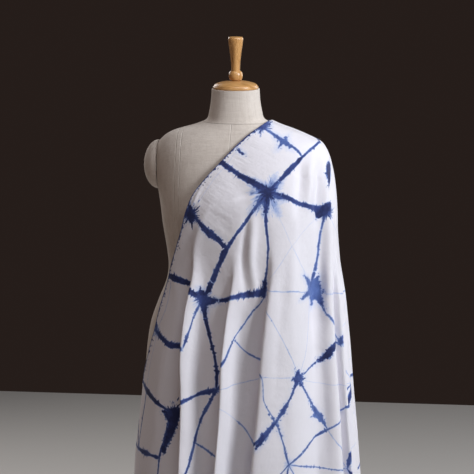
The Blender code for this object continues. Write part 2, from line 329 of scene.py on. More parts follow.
def step_up(value, low, high):
    """0 below low, 1 above high and smooth between."""
    inputs = {"Value": value, "From Min": low, "From Max": high}
    return node_value(
        value.graph, "ShaderNodeMapRange", "Result", inputs, interpolation_type="SMOOTHSTEP"
    )


def vector_of(x, y, z):
    return node_value(x.graph, "ShaderNodeCombineXYZ", 0, {0: x, 1: y, 2: z})


def parts_of(vector):
    node = vector.graph.nodes.new("ShaderNodeSeparateXYZ")
    connect(node, {0: vector})
    return [Value(vector.graph, output) for output in node.outputs]


def noise_of(vector, scale, detail=2.0, roughness=0.5, output="Fac"):
    inputs = {"Vector": vector, "Scale": scale, "Detail": detail, "Roughness": roughness}
    return node_value(vector.graph, "ShaderNodeTexNoise", output, inputs)


def peaks_of(noise, gain, less, sharpness):
    """Only the peaks of a noise, from 0 to 1."""
    return noise.scaled(gain, -less, clamp=True) ** sharpness


def ramp_of(value, stops):
    """A colour ramp with stops of place and colour."""
    node = value.graph.nodes.new("ShaderNodeValToRGB")
    connect(node, {0: value})
    elements = node.color_ramp.elements
    while len(elements) < len(stops):
        elements.new(0.5)
    for element, (place, colour) in zip(elements, stops):
        element.position = place
        element.color = (*colour, 1.0)
    return Value(value.graph, node.outputs["Color"])


def mixed(share, first, second, blend="MIX"):
    """Mixes a share of the second colour into the first."""
    inputs = {"Factor": share, "A": first, "B": (*second, 1.0)}
    return node_value(
        share.graph, "ShaderNodeMix", "Result", inputs, data_type="RGBA", blend_type=blend
    )


def attribute_of(graph, name):
    """The four numbers of an attribute of the mesh."""
    node = graph.nodes.new("ShaderNodeAttribute")
    node.attribute_name = name
    return *parts_of(Value(graph, node.outputs["Vector"])), Value(graph, node.outputs["Alpha"])


def object_place(graph):
    return node_value(graph, "ShaderNodeTexCoord", "Object", {})


def bump_of(height, distance, normal=None):
    inputs = {"Height": height, "Distance": distance}
    if normal is not None:
        inputs["Normal"] = normal
    return node_value(height.graph, "ShaderNodeBump", "Normal", inputs)


floor_finish, _, shader = new_finish("pale_floor")
connect(shader, {"Base Color": (0.62, 0.61, 0.59, 1.0), "Roughness": 0.9})
floor.data.materials.append(floor_finish)
print("floor", FLOOR_HALF * 2, "m wide")

# %% [markdown]
# Curves through short tables
#
# The form and the cloth are both described by level sections in short tables. A
# smooth curve through the rows gives every height between them, and a slightly
# squared ellipse gives the outline at that height, as tailors' forms have.

# %% Sections of the form and the cloth
SHAPE_POWER = 2.25
FORM_SECTIONS = (
    # height, half width, depth in front, depth behind
    (0.720, 0.186, 0.106, 0.116), (0.765, 0.196, 0.113, 0.124), (0.830, 0.2005, 0.118, 0.128),
    (0.900, 0.197, 0.118, 0.124), (0.960, 0.188, 0.113, 0.112), (1.010, 0.171, 0.106, 0.098),
    (1.055, 0.153, 0.100, 0.087), (1.090, 0.148, 0.098, 0.083), (1.130, 0.152, 0.104, 0.087),
    (1.180, 0.160, 0.118, 0.095), (1.215, 0.164, 0.124, 0.099), (1.250, 0.169, 0.121, 0.104),
    (1.290, 0.1765, 0.111, 0.107), (1.330, 0.179, 0.099, 0.102), (1.355, 0.173, 0.089, 0.093),
    (1.374, 0.158, 0.079, 0.082), (1.387, 0.134, 0.071, 0.074), (1.400, 0.090, 0.064, 0.067),
    (1.412, 0.0640, 0.0590, 0.0610), (1.430, 0.0575, 0.0555, 0.0565),
    (1.455, 0.0535, 0.0525, 0.0530), (1.479, 0.0520, 0.0515, 0.0515),
)
CLOTH_SECTIONS = (
    # height, left, right, depth in front, depth behind, without the folds
    (0.290, -0.240, 0.280, 0.170, 0.172), (0.630, -0.226, 0.2645, 0.162, 0.164),
    (0.750, -0.213, 0.2555, 0.157, 0.158), (0.824, -0.2065, 0.2495, 0.154, 0.155),
    (0.900, -0.203, 0.2435, 0.152, 0.150), (1.000, -0.186, 0.2360, 0.148, 0.140),
    (1.090, -0.166, 0.2310, 0.145, 0.130), (1.167, -0.172, 0.2265, 0.144, 0.121),
    (1.215, -0.182, 0.2245, 0.143, 0.118), (1.250, -0.186, 0.2210, 0.139, 0.117),
    (1.290, -0.186, 0.2155, 0.127, 0.116), (1.315, -0.186, 0.2105, 0.117, 0.113),
    (1.330, -0.186, 0.2070, 0.110, 0.110), (1.349, -0.180, 0.1990, 0.101, 0.103),
    (1.364, -0.171, 0.1875, 0.092, 0.095), (1.375, -0.160, 0.1655, 0.086, 0.089),
    (1.3878, -0.134, 0.1344, 0.0795, 0.082), (1.401, -0.096, 0.0960, 0.074, 0.077),
    (1.412, -0.072, 0.0720, 0.071, 0.073),
)
FRONT_SELVAGE = (
    # height, sideways place
    (0.815, -0.2050), (0.889, -0.1853), (0.957, -0.1659), (1.013, -0.1511), (1.086, -0.1293),
    (1.175, -0.1028), (1.228, -0.0883), (1.270, -0.0679), (1.338, -0.0091), (1.386, 0.0387),
    (1.4105, 0.0735),
)
FRONT_SELVAGE_LOW = (
    # height, degrees from the front
    (0.290, -124.0), (0.450, -119.0), (0.630, -109.0), (0.750, -98.0), (0.815, -90.0),
)
BACK_SELVAGE = (
    # height, degrees from the front
    (0.290, 228.0), (0.450, 229.0), (0.630, 232.0), (0.750, 235.0), (0.815, 236.0),
    (0.882, 234.0), (0.948, 231.0), (1.003, 228.0), (1.072, 222.0), (1.158, 212.0),
    (1.252, 198.0), (1.326, 176.0), (1.380, 150.0), (1.400, 122.0), (1.4105, 90.0),
)


def smooth(share):
    share = min(max(share, 0.0), 1.0)
    return share * share * (3.0 - 2.0 * share)


def read_table(table, height, column):
    """A smooth curve through the table's rows, which are in order of height."""
    if height <= table[0][0]:
        return table[0][column]
    if height >= table[-1][0]:
        return table[-1][column]
    row = next(i for i in range(1, len(table)) if height <= table[i][0])
    low, high = table[row - 1], table[row]
    before = table[max(row - 2, 0)]
    after = table[min(row + 1, len(table) - 1)]
    span = high[0] - low[0]
    share = (height - low[0]) / span
    slope_low = (high[column] - before[column]) / (high[0] - before[0]) * span
    slope_high = (after[column] - low[column]) / (after[0] - low[0]) * span
    step = smooth(share)
    bend_low = share * (1.0 - share) ** 2
    bend_high = -share * share * (1.0 - share)
    ends = low[column] * (1.0 - step) + high[column] * step
    return ends + slope_low * bend_low + slope_high * bend_high


def rounded(value):
    return math.copysign(abs(value) ** (2.0 / SHAPE_POWER), value)


def angle_of(share):
    share = min(max(share, -1.0), 1.0)
    return math.asin(math.copysign(abs(share) ** (SHAPE_POWER / 2.0), share))


def placed_grid(columns, rows, place):
    """A grid whose points are put where place(across, down) says, both from 0 to 1."""
    bm = bmesh.new()
    bmesh.ops.create_grid(bm, x_segments=columns, y_segments=rows, size=0.5)
    for vert in bm.verts:
        vert.co = place(vert.co.x + 0.5, 0.5 - vert.co.y)
    return bm


print("form rows", len(FORM_SECTIONS), "cloth rows", len(CLOTH_SECTIONS))

# %% [markdown]
# The folds
#
# The cloth hangs from the shoulder line in a fan. Each row of this table is a crest,
# a foot or a valley that runs from the chest to the hem. A foot that lies further
# round than the crest after it makes an overlapping fold, as gravity makes in cloth
# that is held along one edge.

# %% Fold table
FOLDS = (
    # name, degrees at the chest, degrees at the hem, how proud, start height, columns
    ("front selvage", -60.0, -124.0, 0.000, 1.24, 4),
    ("side panel", -44.0, -62.0, -0.003, 1.20, 4),
    ("first foot", -30.6, -15.8, -0.020, 1.24, 3),
    ("first crest", -29.6, -20.8, 0.022, 1.28, 3),
    ("first fall", -22.6, -12.8, -0.014, 1.24, 3),
    ("second foot", -3.2, -5.0, -0.016, 1.18, 2),
    ("second crest", -2.2, -10.0, 0.020, 1.21, 3),
    ("second fall", 4.0, -3.0, -0.018, 1.19, 3),
    ("third foot", 18.1, 5.7, -0.026, 1.23, 3),
    ("third crest", 19.1, -0.4, 0.017, 1.27, 4),
    ("third panel", 37.0, 21.0, 0.006, 1.25, 3),
    ("arm valley", 57.0, 48.0, -0.026, 1.37, 3),
    ("arm crest", 69.0, 63.0, 0.004, 1.36, 2),
    ("fifth foot", 76.0, 77.0, -0.012, 1.31, 2),
    ("fifth crest", 77.5, 73.5, 0.010, 1.33, 2),
    ("side valley", 86.0, 85.0, -0.010, 1.28, 2),
    ("side", 91.0, 91.0, 0.008, 1.26, 3),
    ("back valley", 99.0, 99.0, -0.014, 1.27, 4),
    ("back first crest", 110.0, 110.0, 0.018, 1.29, 4),
    ("back second valley", 122.0, 123.0, -0.020, 1.27, 4),
    ("back second crest", 133.0, 135.0, 0.018, 1.29, 5),
    ("back third valley", 147.0, 151.0, -0.018, 1.25, 5),
    ("back third crest", 159.0, 165.0, 0.022, 1.27, 5),
    ("back fourth valley", 172.0, 181.0, -0.016, 1.22, 5),
    ("back fourth crest", 182.0, 194.0, 0.016, 1.20, 6),
    ("back panel", 196.0, 212.0, -0.006, 1.15, 5),
    ("back selvage", 210.0, 228.0, 0.000, 1.10, 0),
)
FOLD_GROWTH = 0.36
FOLD_WIDENING = 0.6
FOLD_CHEST_HEIGHT = 1.200
HEM_HEIGHT = 0.300
HEM_WAVE = 0.008
HEM_WAVE_TURN = 0.33
RIDGE_START_HEIGHT = 1.4105
RIDGE_END_HEIGHT = 1.330
RIDGE_EVEN_DROP = 0.55
RIDGE_LATE_DROP = 0.45
SETTLES_AT_NECK = 0.012
SETTLES_AT_SHOULDER = 0.10
COLUMN_APART = 1.3
CROWDED_SHARE = 0.6
TURN_SOFTNESS = 6.0
COLUMNS = sum(row[5] for row in FOLDS)
HALF_COLUMNS = COLUMNS // 2


def cloth_section(height):
    left, right, front, back = (read_table(CLOTH_SECTIONS, height, i) for i in (1, 2, 3, 4))
    return (left + right) / 2.0, (right - left) / 2.0, front, back


def front_selvage_angle(height):
    if height <= FRONT_SELVAGE[0][0]:
        return read_table(FRONT_SELVAGE_LOW, height, 1)
    middle, half, _, _ = cloth_section(height)
    return math.degrees(angle_of((read_table(FRONT_SELVAGE, height, 1) - middle) / half))


def soft_max(first, second, softness):
    """The larger of two angles, rounded off where they cross."""
    apart = abs(first - second)
    if apart >= softness:
        return max(first, second)
    return max(first, second) + (softness - apart) ** 2 / (4.0 * softness)


def fold_at(column):
    for row in range(len(FOLDS) - 1):
        count = FOLDS[row][5]
        if column <= count:
            return FOLDS[row], FOLDS[row + 1], column / count
        column -= count
    return FOLDS[-2], FOLDS[-1], 1.0


def hanging_angle(column, height):
    """Where a column of the cloth lies at a height, in degrees from the front."""
    down = (FOLD_CHEST_HEIGHT - height) / (FOLD_CHEST_HEIGHT - HEM_HEIGHT)
    first, second, share = fold_at(column)
    first_angle = first[1] + (first[2] - first[1]) * down
    second_angle = second[1] + (second[2] - second[1]) * down
    angle = first_angle + (second_angle - first_angle) * share
    start = front_selvage_angle(height)
    end = read_table(BACK_SELVAGE, height, 1)
    if column == 0:
        return start
    if column == COLUMNS:
        return end
    apart = min(COLUMN_APART, CROWDED_SHARE * (end - start) / COLUMNS)
    angle = soft_max(angle, start + apart * column, TURN_SOFTNESS)
    return -soft_max(-angle, apart * (COLUMNS - column) - end, TURN_SOFTNESS)


def fold_proud(column, height):
    first, second, share = fold_at(column)
    proud = []
    for row in (first, second):
        growth = smooth((row[4] - height) / FOLD_GROWTH)
        further = max(0.0, FOLD_CHEST_HEIGHT - FOLD_GROWTH - height) * FOLD_WIDENING
        proud.append(row[3] * growth * (1.0 + further))
    return proud[0] + (proud[1] - proud[0]) * smooth(share)


def cloth_point(column, down):
    """A point of a column of the cloth, down from the shoulder at 0 to the hem at 1."""
    from_neck = min(column, COLUMNS - column) / HALF_COLUMNS
    drop = RIDGE_EVEN_DROP * from_neck + RIDGE_LATE_DROP * from_neck ** 3
    top = RIDGE_START_HEIGHT - (RIDGE_START_HEIGHT - RIDGE_END_HEIGHT) * drop
    hem = HEM_HEIGHT + HEM_WAVE * math.sin(column * HEM_WAVE_TURN)
    height = top + (hem - top) * down
    angle = math.radians(hanging_angle(column, height))
    middle, half, front, back = cloth_section(height)
    place = middle + half * rounded(math.sin(angle))
    ridge_middle, ridge_half, _, _ = cloth_section(top)
    ridge_place = ridge_middle + ridge_half
    on_shoulder = smooth(from_neck * 2.2) * (1.0 - smooth(from_neck * 2.0 - 1.0))
    fall = SETTLES_AT_NECK + SETTLES_AT_SHOULDER * on_shoulder
    settled = smooth((top - height) / fall)
    if column in (0, COLUMNS):
        settled = 1.0 if down > 0.0 else 0.0
    if settled < 1.0:
        place = ridge_place + (place - ridge_place) * settled
        angle = angle_of((place - middle) / half)
        if column > HALF_COLUMNS:
            angle = math.pi - angle
    face = rounded(math.cos(angle))
    x = middle + half * rounded(math.sin(angle))
    y = -front * face if face > 0.0 else -back * face
    proud = fold_proud(column, height)
    return x + math.sin(angle) * proud, y - math.cos(angle) * proud, height


print("folds", len(FOLDS), "columns", COLUMNS)

# %% [markdown]
# The thin cloth
#
# The sheet is a fine grid. Its points are read from smooth curves across the fold
# columns, so that crests are round tubes and feet are soft. The columns are closer
# together in front, where the main folds are.

# %% Cloth surface
FINE_IN_FRONT = 4
FINE_BEHIND = 2
FINE_ROWS = 172
FINE_CROWDING = 1.45


def curve_weights(share):
    """Weights of four neighbouring points on a smooth curve through the middle two."""
    a = -0.5 * share + share ** 2 - 0.5 * share ** 3
    b = 1.0 - 2.5 * share ** 2 + 1.5 * share ** 3
    c = 0.5 * share + 2.0 * share ** 2 - 1.5 * share ** 3
    d = -0.5 * share ** 2 + 0.5 * share ** 3
    return a, b, c, d


downs = [(row / FINE_ROWS) ** FINE_CROWDING for row in range(FINE_ROWS + 1)]
coarse = np.array([[cloth_point(column, down) for column in range(COLUMNS + 1)] for down in downs])
fine_columns = [i / FINE_IN_FRONT for i in range(HALF_COLUMNS * FINE_IN_FRONT)]
fine_columns += [
    HALF_COLUMNS + i / FINE_BEHIND for i in range((COLUMNS - HALF_COLUMNS) * FINE_BEHIND + 1)
]
sheet = np.zeros((FINE_ROWS + 1, len(fine_columns), 3))
for i, column in enumerate(fine_columns):
    base = min(int(column), COLUMNS - 1)
    around = [min(max(base + k, 0), COLUMNS) for k in (-1, 0, 1, 2)]
    for weight, neighbour in zip(curve_weights(column - base), around):
        sheet[:, i] += weight * coarse[:, neighbour]
last_fine = len(fine_columns) - 1
front_part = HALF_COLUMNS * FINE_IN_FRONT
behind = np.arange(front_part, last_fine + 1)
in_front = front_part - (behind - front_part) * FINE_IN_FRONT // FINE_BEHIND

SOFTENING_PASSES = 70
SOFT_EVERYWHERE = 0.02
SOFT_AT_FOLD_STARTS = 0.5
FOLD_STARTS_AT = 1.165
FOLD_STARTS_SPREAD = 0.075
starts = np.exp(-((sheet[:, :, 2] - FOLD_STARTS_AT) / FOLD_STARTS_SPREAD) ** 2)
softness = (SOFT_EVERYWHERE + (SOFT_AT_FOLD_STARTS - SOFT_EVERYWHERE) * starts)[:, 1:-1, None]
for _ in range(SOFTENING_PASSES):
    between = (sheet[:, :-2] + sheet[:, 2:]) / 2.0
    sheet[:, 1:-1, :2] += (softness * (between - sheet[:, 1:-1]))[:, :, :2]
print("cloth grid", last_fine, "by", FINE_ROWS)


# %% [markdown]
# Flat places on the cloth
#
# To put a crease or a dyed line where the eye sees it, the cloth needs flat
# coordinates. One runs along each row from a plumb line on the front, the other
# runs down the front's profile. A place seen in the picture is looked up on the
# nearest part of the cloth that is seen there.

# %% Flat coordinates
PLUMB_X = 0.120
SAME_PLACE = 0.007
PROFILE_STEPS = 600

steps_across = np.linalg.norm(np.diff(sheet, axis=1), axis=2)
along = np.concatenate([np.zeros((FINE_ROWS + 1, 1)), np.cumsum(steps_across, axis=1)], axis=1)
flat_across = np.zeros(along.shape)
for row in range(FINE_ROWS + 1):
    sideways = sheet[row, :front_part, 0]
    passed = np.nonzero(sideways < PLUMB_X)[0]
    crossing = passed[-1] if len(passed) else 0
    beyond = min(crossing + 1, front_part - 1)
    share = (PLUMB_X - sideways[crossing]) / max(sideways[beyond] - sideways[crossing], 1e-6)
    start = along[row, crossing] + (along[row, beyond] - along[row, crossing]) * min(share, 1.0)
    flat_across[row] = along[row] - start
level = sheet[:, :, 2]
profile_heights = np.linspace(HEM_HEIGHT - 0.02, RIDGE_START_HEIGHT, PROFILE_STEPS)
profile_depths = np.array([cloth_section(height)[2] for height in profile_heights])
profile_steps = np.hypot(np.diff(profile_heights), np.diff(profile_depths))
profile_length = np.concatenate([[0.0], np.cumsum(profile_steps)])
chest_length = np.interp(FOLD_CHEST_HEIGHT, profile_heights, profile_length)
flat_down = chest_length - np.interp(level, profile_heights, profile_length)
steps_down = np.linalg.norm(np.diff(sheet, axis=0), axis=2)
fallen = np.concatenate([np.zeros((1, last_fine + 1)), np.cumsum(steps_down, axis=0)], axis=0)
from_front_selvage = along
from_back_selvage = along[:, -1:] - along
from_hem = fallen[-1:, :] - fallen

to_camera = sheet - np.array(CAMERA_PLACE)
depth = -(to_camera @ np.array(VIEW_BACK))
seen_across = to_camera @ np.array(VIEW_RIGHT) / depth * VIEW_AWAY
seen_up = to_camera @ np.array(VIEW_UP) / depth * VIEW_AWAY


def seen_at(across, up):
    """Row and column of the part of the cloth that is seen at this place of the picture."""
    apart = np.hypot(seen_across - across, seen_up - up)
    nearest = np.where(apart < max(SAME_PLACE, apart.min() * 1.2), depth + apart * 2.0, 1e9)
    return np.unravel_index(np.argmin(nearest), nearest.shape)


def stroke(across, up, to_across, to_up):
    """How far the cloth's points lie past the ends of a line between two places of the
    picture, how far off it, and their share of the way along it."""
    start = seen_at(across, up)
    end = seen_at(to_across, to_up)
    first = np.array([flat_across[start], flat_down[start]])
    way = np.array([flat_across[end], flat_down[end]]) - first
    length = max(np.linalg.norm(way), 1e-9)
    way = way / length
    beside_x = flat_across - first[0]
    beside_y = flat_down - first[1]
    on_way = beside_x * way[0] + beside_y * way[1]
    off_way = np.abs(beside_y * way[0] - beside_x * way[1])
    share = np.clip(on_way / length, 0.0, 1.0)
    return np.abs(on_way - length * share), off_way, share


print("cloth area", round(float((steps_across[:-1] * steps_down[:, :-1]).sum()), 2), "m2")

# %% [markdown]
# Creases
#
# Small creases tell how the cloth is pulled: drag lines run from the breast towards
# the shoulder, and short cones fall from the point of the shoulder. Each is a soft
# trough or ridge between two places of the picture, in metres from its middle.

# %% Creases placed one by one
CREASES = (
    # from across, from up, to across, to up, half width, height
    (-0.086, 0.090, -0.034, 0.052, 0.0050, -0.0009),
    (-0.078, 0.074, -0.020, 0.030, 0.0050, -0.0010),
    (-0.070, 0.052, -0.008, 0.010, 0.0050, -0.0009),
    (-0.062, 0.064, -0.016, 0.041, 0.0045, 0.0008),
    (-0.079, 0.106, -0.097, 0.074, 0.0035, 0.0018),
    (0.013, 0.099, 0.020, 0.085, 0.0220, -0.0060),
    (0.146, 0.172, 0.137, 0.060, 0.0110, -0.0085),
    (0.163, 0.170, 0.156, 0.060, 0.0075, 0.0060),
    (0.182, 0.165, 0.176, 0.040, 0.0085, -0.0080),
    (0.196, 0.150, 0.194, 0.060, 0.0060, 0.0040),
    (0.186, 0.060, 0.180, -0.170, 0.0190, -0.0150),
    (0.204, 0.060, 0.202, -0.170, 0.0080, 0.0060),
    (0.182, -0.190, 0.196, -0.460, 0.0150, -0.0060),
    (0.040, 0.026, 0.042, -0.140, 0.0080, 0.0050),
    (0.022, 0.026, 0.020, -0.140, 0.0080, -0.0040),
    (0.033, 0.045, 0.026, -0.050, 0.0070, 0.0030),
    (0.100, -0.090, 0.086, -0.330, 0.0120, -0.0025),
    (0.130, 0.020, 0.118, -0.180, 0.0100, 0.0020),
    (-0.130, -0.020, -0.150, -0.250, 0.0120, 0.0030),
    (-0.160, -0.260, -0.185, -0.480, 0.0140, 0.0030),
)
CREASE_END = 0.12
CREASE_FULL = 0.8
CREASES_BELOW = 1.375
CREASES_GROW_OVER = 0.06
CREASES_FROM_RIDGE = 0.04
UNEVEN_HEIGHT = 0.0016
UNEVEN_ACROSS = 22.0
UNEVEN_DOWN = 7.0
CLOTH_MIDDLE_X = 0.03


def surface_normals(points):
    down_way = np.gradient(points, axis=0)
    across_way = np.gradient(points, axis=1)
    normal = np.cross(down_way, across_way)
    normal /= np.maximum(np.linalg.norm(normal, axis=2, keepdims=True), 1e-9)
    outward = points - np.array([CLOTH_MIDDLE_X, 0.0, 0.0])
    outward[:, :, 2] = 0.0
    if (normal * outward).sum() < 0.0:
        normal = -normal
    return normal


normals = surface_normals(sheet)
raised = np.zeros(depth.shape)
for across, up, to_across, to_up, half_width, height in CREASES:
    beyond, off_way, share = stroke(across, up, to_across, to_up)
    fade = np.sin(np.pi * (CREASE_END + (1.0 - 2.0 * CREASE_END) * share)) ** CREASE_FULL
    off = (off_way / half_width) ** 2 + (beyond / half_width / 2.0) ** 2
    raised += height * fade * np.exp(-off)
for row in range(FINE_ROWS + 1):
    for i in range(last_fine + 1):
        place = (flat_across[row, i] * UNEVEN_ACROSS, flat_down[row, i] * UNEVEN_DOWN, 0.0)
        raised[row, i] += UNEVEN_HEIGHT * noise.noise(Vector(place))
settle = np.clip((CREASES_BELOW - level) / CREASES_GROW_OVER, 0.0, 1.0)
settle *= np.clip(fallen / CREASES_FROM_RIDGE, 0.0, 1.0)
sheet = sheet + normals * (raised * settle)[:, :, None]
print("creases", len(CREASES), "deepest", round(float(-raised.min()) * 1000, 1), "mm")

# %% [markdown]
# The dyer's net
#
# The cloth was folded into a square net, bound, and dipped in indigo, so dye reached
# only the fold lines. They cross in a net of squares with stars at every second
# crossing, where the diagonal folds meet too. This table places the crossings on the
# cloth, by step along the front selvage and step away from it.

# %% Where the net crosses
NET_PITCH = 0.14
CROSSINGS = (
    # step along, step away, seen across, seen up
    (1, 1, 0.055, 0.244), (1, 0, 0.145, 0.178), (0, 1, -0.026, 0.158), (0, 0, 0.068, 0.097),
    (-1, 1, -0.100, 0.048), (-1, 0, -0.020, -0.022), (-2, 1, -0.145, -0.086),
    (-2, 0, -0.077, -0.139), (-3, 1, -0.176, -0.211), (-3, 0, -0.119, -0.244),
    (-4, 1, -0.202, -0.337), (-4, 0, -0.143, -0.385), (-5, 1, -0.218, -0.462),
    (-5, 0, -0.168, -0.486), (-1, -1, 0.062, -0.112), (-2, -1, -0.007, -0.224),
    (-3, -1, -0.044, -0.337), (-4, -1, -0.092, -0.453), (1, -1, 0.200, 0.055),
    (0, -1, 0.119, -0.022), (0, -2, 0.165, -0.119), (-1, -2, 0.103, -0.233),
    (-1, -3, 0.136, -0.312), (0, -3, 0.229, -0.231), (-2, -2, 0.053, -0.310),
    (-2, -3, 0.084, -0.407), (-1, -4, 0.198, -0.422), (-2, -4, 0.112, -0.504),
    (-0.5, 0, 0.020, 0.035), (-1.5, 0, -0.044, -0.073), (-1, 0.5, -0.062, 0.011),
    (-3, 0.62, -0.143, -0.235), (-4.4, -1, -0.108, -0.506), (-4, -1.47, -0.057, -0.477),
    (-2, -1.39, 0.030, -0.261), (-2, -2.43, 0.059, -0.363), (-3, -2.2, 0.015, -0.420),
    (-0.37, -0.37, 0.064, 0.015), (-0.59, -0.59, 0.066, -0.029), (-0.8, -0.8, 0.066, -0.073),
    (-0.54, -3, 0.173, -0.279), (-0.26, -3, 0.205, -0.247), (-1.37, -1, 0.037, -0.162),
    (-2.43, -1, -0.033, -0.282), (-1.7, -0.3, -0.033, -0.138), (-1.12, -0.9, 0.051, -0.125),
    (-2.5, -0.5, -0.057, -0.231), (0, 0.5, 0.022, 0.128), (1, 0.5, 0.101, 0.213),
    (0.5, 0, 0.104, 0.136), (0.5, -0.5, 0.128, 0.076),
)
NET_REACH = 0.30
BEND_SOFTNESS = 1e-4
NET_JOINS_OVER = 0.40

flat_places = []
for _, _, across, up in CROSSINGS:
    found = seen_at(across, up)
    flat_places.append((flat_across[found], flat_down[found]))
flat_places = np.array(flat_places)
net_places = np.array([row[:2] for row in CROSSINGS], float)


def bend_kernel(apart):
    return apart ** 2 * np.log(np.maximum(apart, 1e-9))


straight = np.column_stack([np.ones(len(flat_places)), flat_places])
straight_fit = np.linalg.lstsq(straight, net_places, rcond=None)[0]
left_over = net_places - straight @ straight_fit
apart = np.linalg.norm(flat_places[:, None] - flat_places[None], axis=2)
count = len(flat_places)
system = np.zeros((count + 3, count + 3))
system[:count, :count] = bend_kernel(apart) + BEND_SOFTNESS * np.eye(count)
system[:count, count:] = straight
system[count:, :count] = straight.T
bend_fit = np.linalg.solve(system, np.vstack([left_over, np.zeros((3, 2))]))
flat_all = np.column_stack([flat_across.ravel(), flat_down.ravel()])
apart_all = np.linalg.norm(flat_all[:, None] - flat_places[None], axis=2)
straight_all = np.column_stack([np.ones(len(flat_all)), flat_all])
bent = bend_kernel(apart_all) @ bend_fit[:count] + straight_all @ bend_fit[count:]
near = np.exp(-(apart_all.min(axis=1) / NET_REACH) ** 2)
net = (straight_all @ straight_fit + bent * near[:, None]).reshape(depth.shape + (2,))
joined = np.clip(1.0 - fallen[:, behind] / NET_JOINS_OVER, 0.0, 1.0)[:, :, None]
net[:, behind] += (net[0, in_front] - net[0, behind]) * joined ** 2 * (3.0 - 2.0 * joined)
print("net fit", np.round(straight_fit.T, 2).tolist())
print("largest bend", round(float(abs(left_over).max()), 2), "steps")

# %% [markdown]
# How dark each line is
#
# Bound tightly, a fold takes little dye, and loosely, it takes much. Each stretch of
# the net between two crossings has its own strength from 0 to 1. Stretches that the
# photo hides get a plain rule.

# %% Strength of the dyed lines
ALONG_SELVAGE = (
    # step away of the line, from step along, strengths of the stretches from there on
    (0, -6, (0.40, 0.55, 0.00, 0.50, 0.66, 0.56, 0.62, 0.52)),
    (-1, -5, (0.50, 0.54, 0.42, 0.36, 0.12, 0.08, 0.10)),
    (-2, -4, (0.00, 0.00, 0.00, 0.00, 0.00, 0.15)), (-3, -3, (0.52, 0.46, 0.40, 0.10, 0.15)),
    (-4, -3, (0.40, 0.46, 0.38, 0.15, 0.15)), (-5, -3, (0.10, 0.10, 0.15, 0.15, 0.15)),
    (1, -4, (0.15, 0.15, 0.15, 0.10, 0.10, 0.20)),
)
AWAY_FROM_SELVAGE = (
    # step along of the line, from step away, strengths of the stretches from there on
    (1, -4, (0.15, 0.15, 0.12, 0.00, 0.44, 0.50)),
    (0, -5, (0.15, 0.20, 0.36, 0.14, 0.12, 0.68, 0.66)),
    (-1, -5, (0.20, 0.42, 0.24, 0.21, 0.00, 0.64, 0.66)),
    (-2, -5, (0.30, 0.42, 0.34, 0.34, 0.00, 0.66, 0.62)),
    (-3, -3, (0.30, 0.14, 0.00, 0.58, 0.52)), (-4, -3, (0.00, 0.40, 0.00, 0.68, 0.60)),
    (-5, -1, (0.00, 0.58, 0.50)),
)
RISING_DIAGONALS = (
    # half the difference of the steps, from half their sum, strengths from there on
    (0, -2, (0.00, 0.52, 0.00)), (-1, -3, (0.00, 0.66, 0.00)),
    (1, -3, (0.00, 0.15, 0.42, 0.00)), (-2, -3, (0.00, 0.00)),
)
FALLING_DIAGONALS = (
    # half the sum of the steps, from half the difference, strengths from there on
    (0, -1, (0.00, 0.62, 0.00)), (-1, -2, (0.00, 0.60, 0.20, 0.22)),
    (-2, -3, (0.00, 0.58, 0.20, 0.17, 0.12)), (-3, -2, (0.00, 0.00, 0.00, 0.34)),
    (1, 0, (0.00,)),
)
STARS = (
    # half the sum of the steps, half their difference, dark, blue round it
    (0, 0, 0.95, 1.0), (-1, -1, 0.72, 0.6), (-2, -2, 0.95, 0.1), (-1, 0, 0.35, 0.1),
    (-2, -1, 0.35, 0.1), (0, 1, 0.70, 0.1), (-1, 1, 0.20, 0.35), (-2, 1, 0.20, 0.2),
    (0, -1, 0.90, 0.2), (1, 0, 0.70, 0.4), (-1, -2, 0.40, 0.1), (-2, -3, 0.30, 0.1),
    (-3, 1, 0.22, 0.3), (-2, 0, 0.00, 0.0), (-3, 2, 0.10, 0.1), (-1, 2, 0.10, 0.1),
    (-2, 2, 0.10, 0.1), (0, 2, 0.10, 0.1), (1, 1, 0.10, 0.1),
)
TABLE_HALF = 24
BLEND_AT_CROSSING = 0.10


def other_strength(line, start, family):
    """Plain rule for the stretches that the photo hides."""
    return 0.30 + 0.28 * math.sin(line * 2.1 + start * 3.7 + family * 1.3)


def strength_grid(rows, family):
    steps = range(-TABLE_HALF, TABLE_HALF + 1)
    grid = np.array([[other_strength(line, start, family) for start in steps] for line in steps])
    for line, start, values in rows:
        first = start + TABLE_HALF
        grid[line + TABLE_HALF, first:first + len(values)] = values
    return grid


def lookup(grid, line, start):
    line = np.clip(line + TABLE_HALF, 0, 2 * TABLE_HALF).astype(int)
    start = np.clip(start + TABLE_HALF, 0, 2 * TABLE_HALF).astype(int)
    return grid[line, start]


def line_strength(across, on, rows, family):
    """Strength of the nearest line of a family at each point of the cloth."""
    grid = strength_grid(rows, family)
    line = np.round(across)
    start = np.floor(on)
    share = on - start
    here = lookup(grid, line, start)
    before = lookup(grid, line, start - 1)
    after = lookup(grid, line, start + 1)
    low = np.clip(0.5 - share / BLEND_AT_CROSSING, 0.0, 0.5)
    high = np.clip(0.5 - (1.0 - share) / BLEND_AT_CROSSING, 0.0, 0.5)
    return here * (1.0 - low - high) + before * low + after * high


net_along, net_away = net[:, :, 0], net[:, :, 1]
half_sum = (net_along + net_away) / 2.0
half_difference = (net_along - net_away) / 2.0
strengths = np.stack([
    line_strength(net_away, net_along, ALONG_SELVAGE, 0),
    line_strength(net_along, net_away, AWAY_FROM_SELVAGE, 1),
    line_strength(half_difference, half_sum, RISING_DIAGONALS, 2),
    line_strength(half_sum, half_difference, FALLING_DIAGONALS, 3),
], axis=2)
stars = np.stack([
    lookup(
        strength_grid([(total, apart, row[i:i + 1]) for total, apart, *row in STARS], 4 + i),
        np.round(half_sum), np.round(half_difference),
    )
    for i in (0, 1)
], axis=2)
print("mean strengths", np.round(strengths.mean(axis=(0, 1)), 2).tolist())
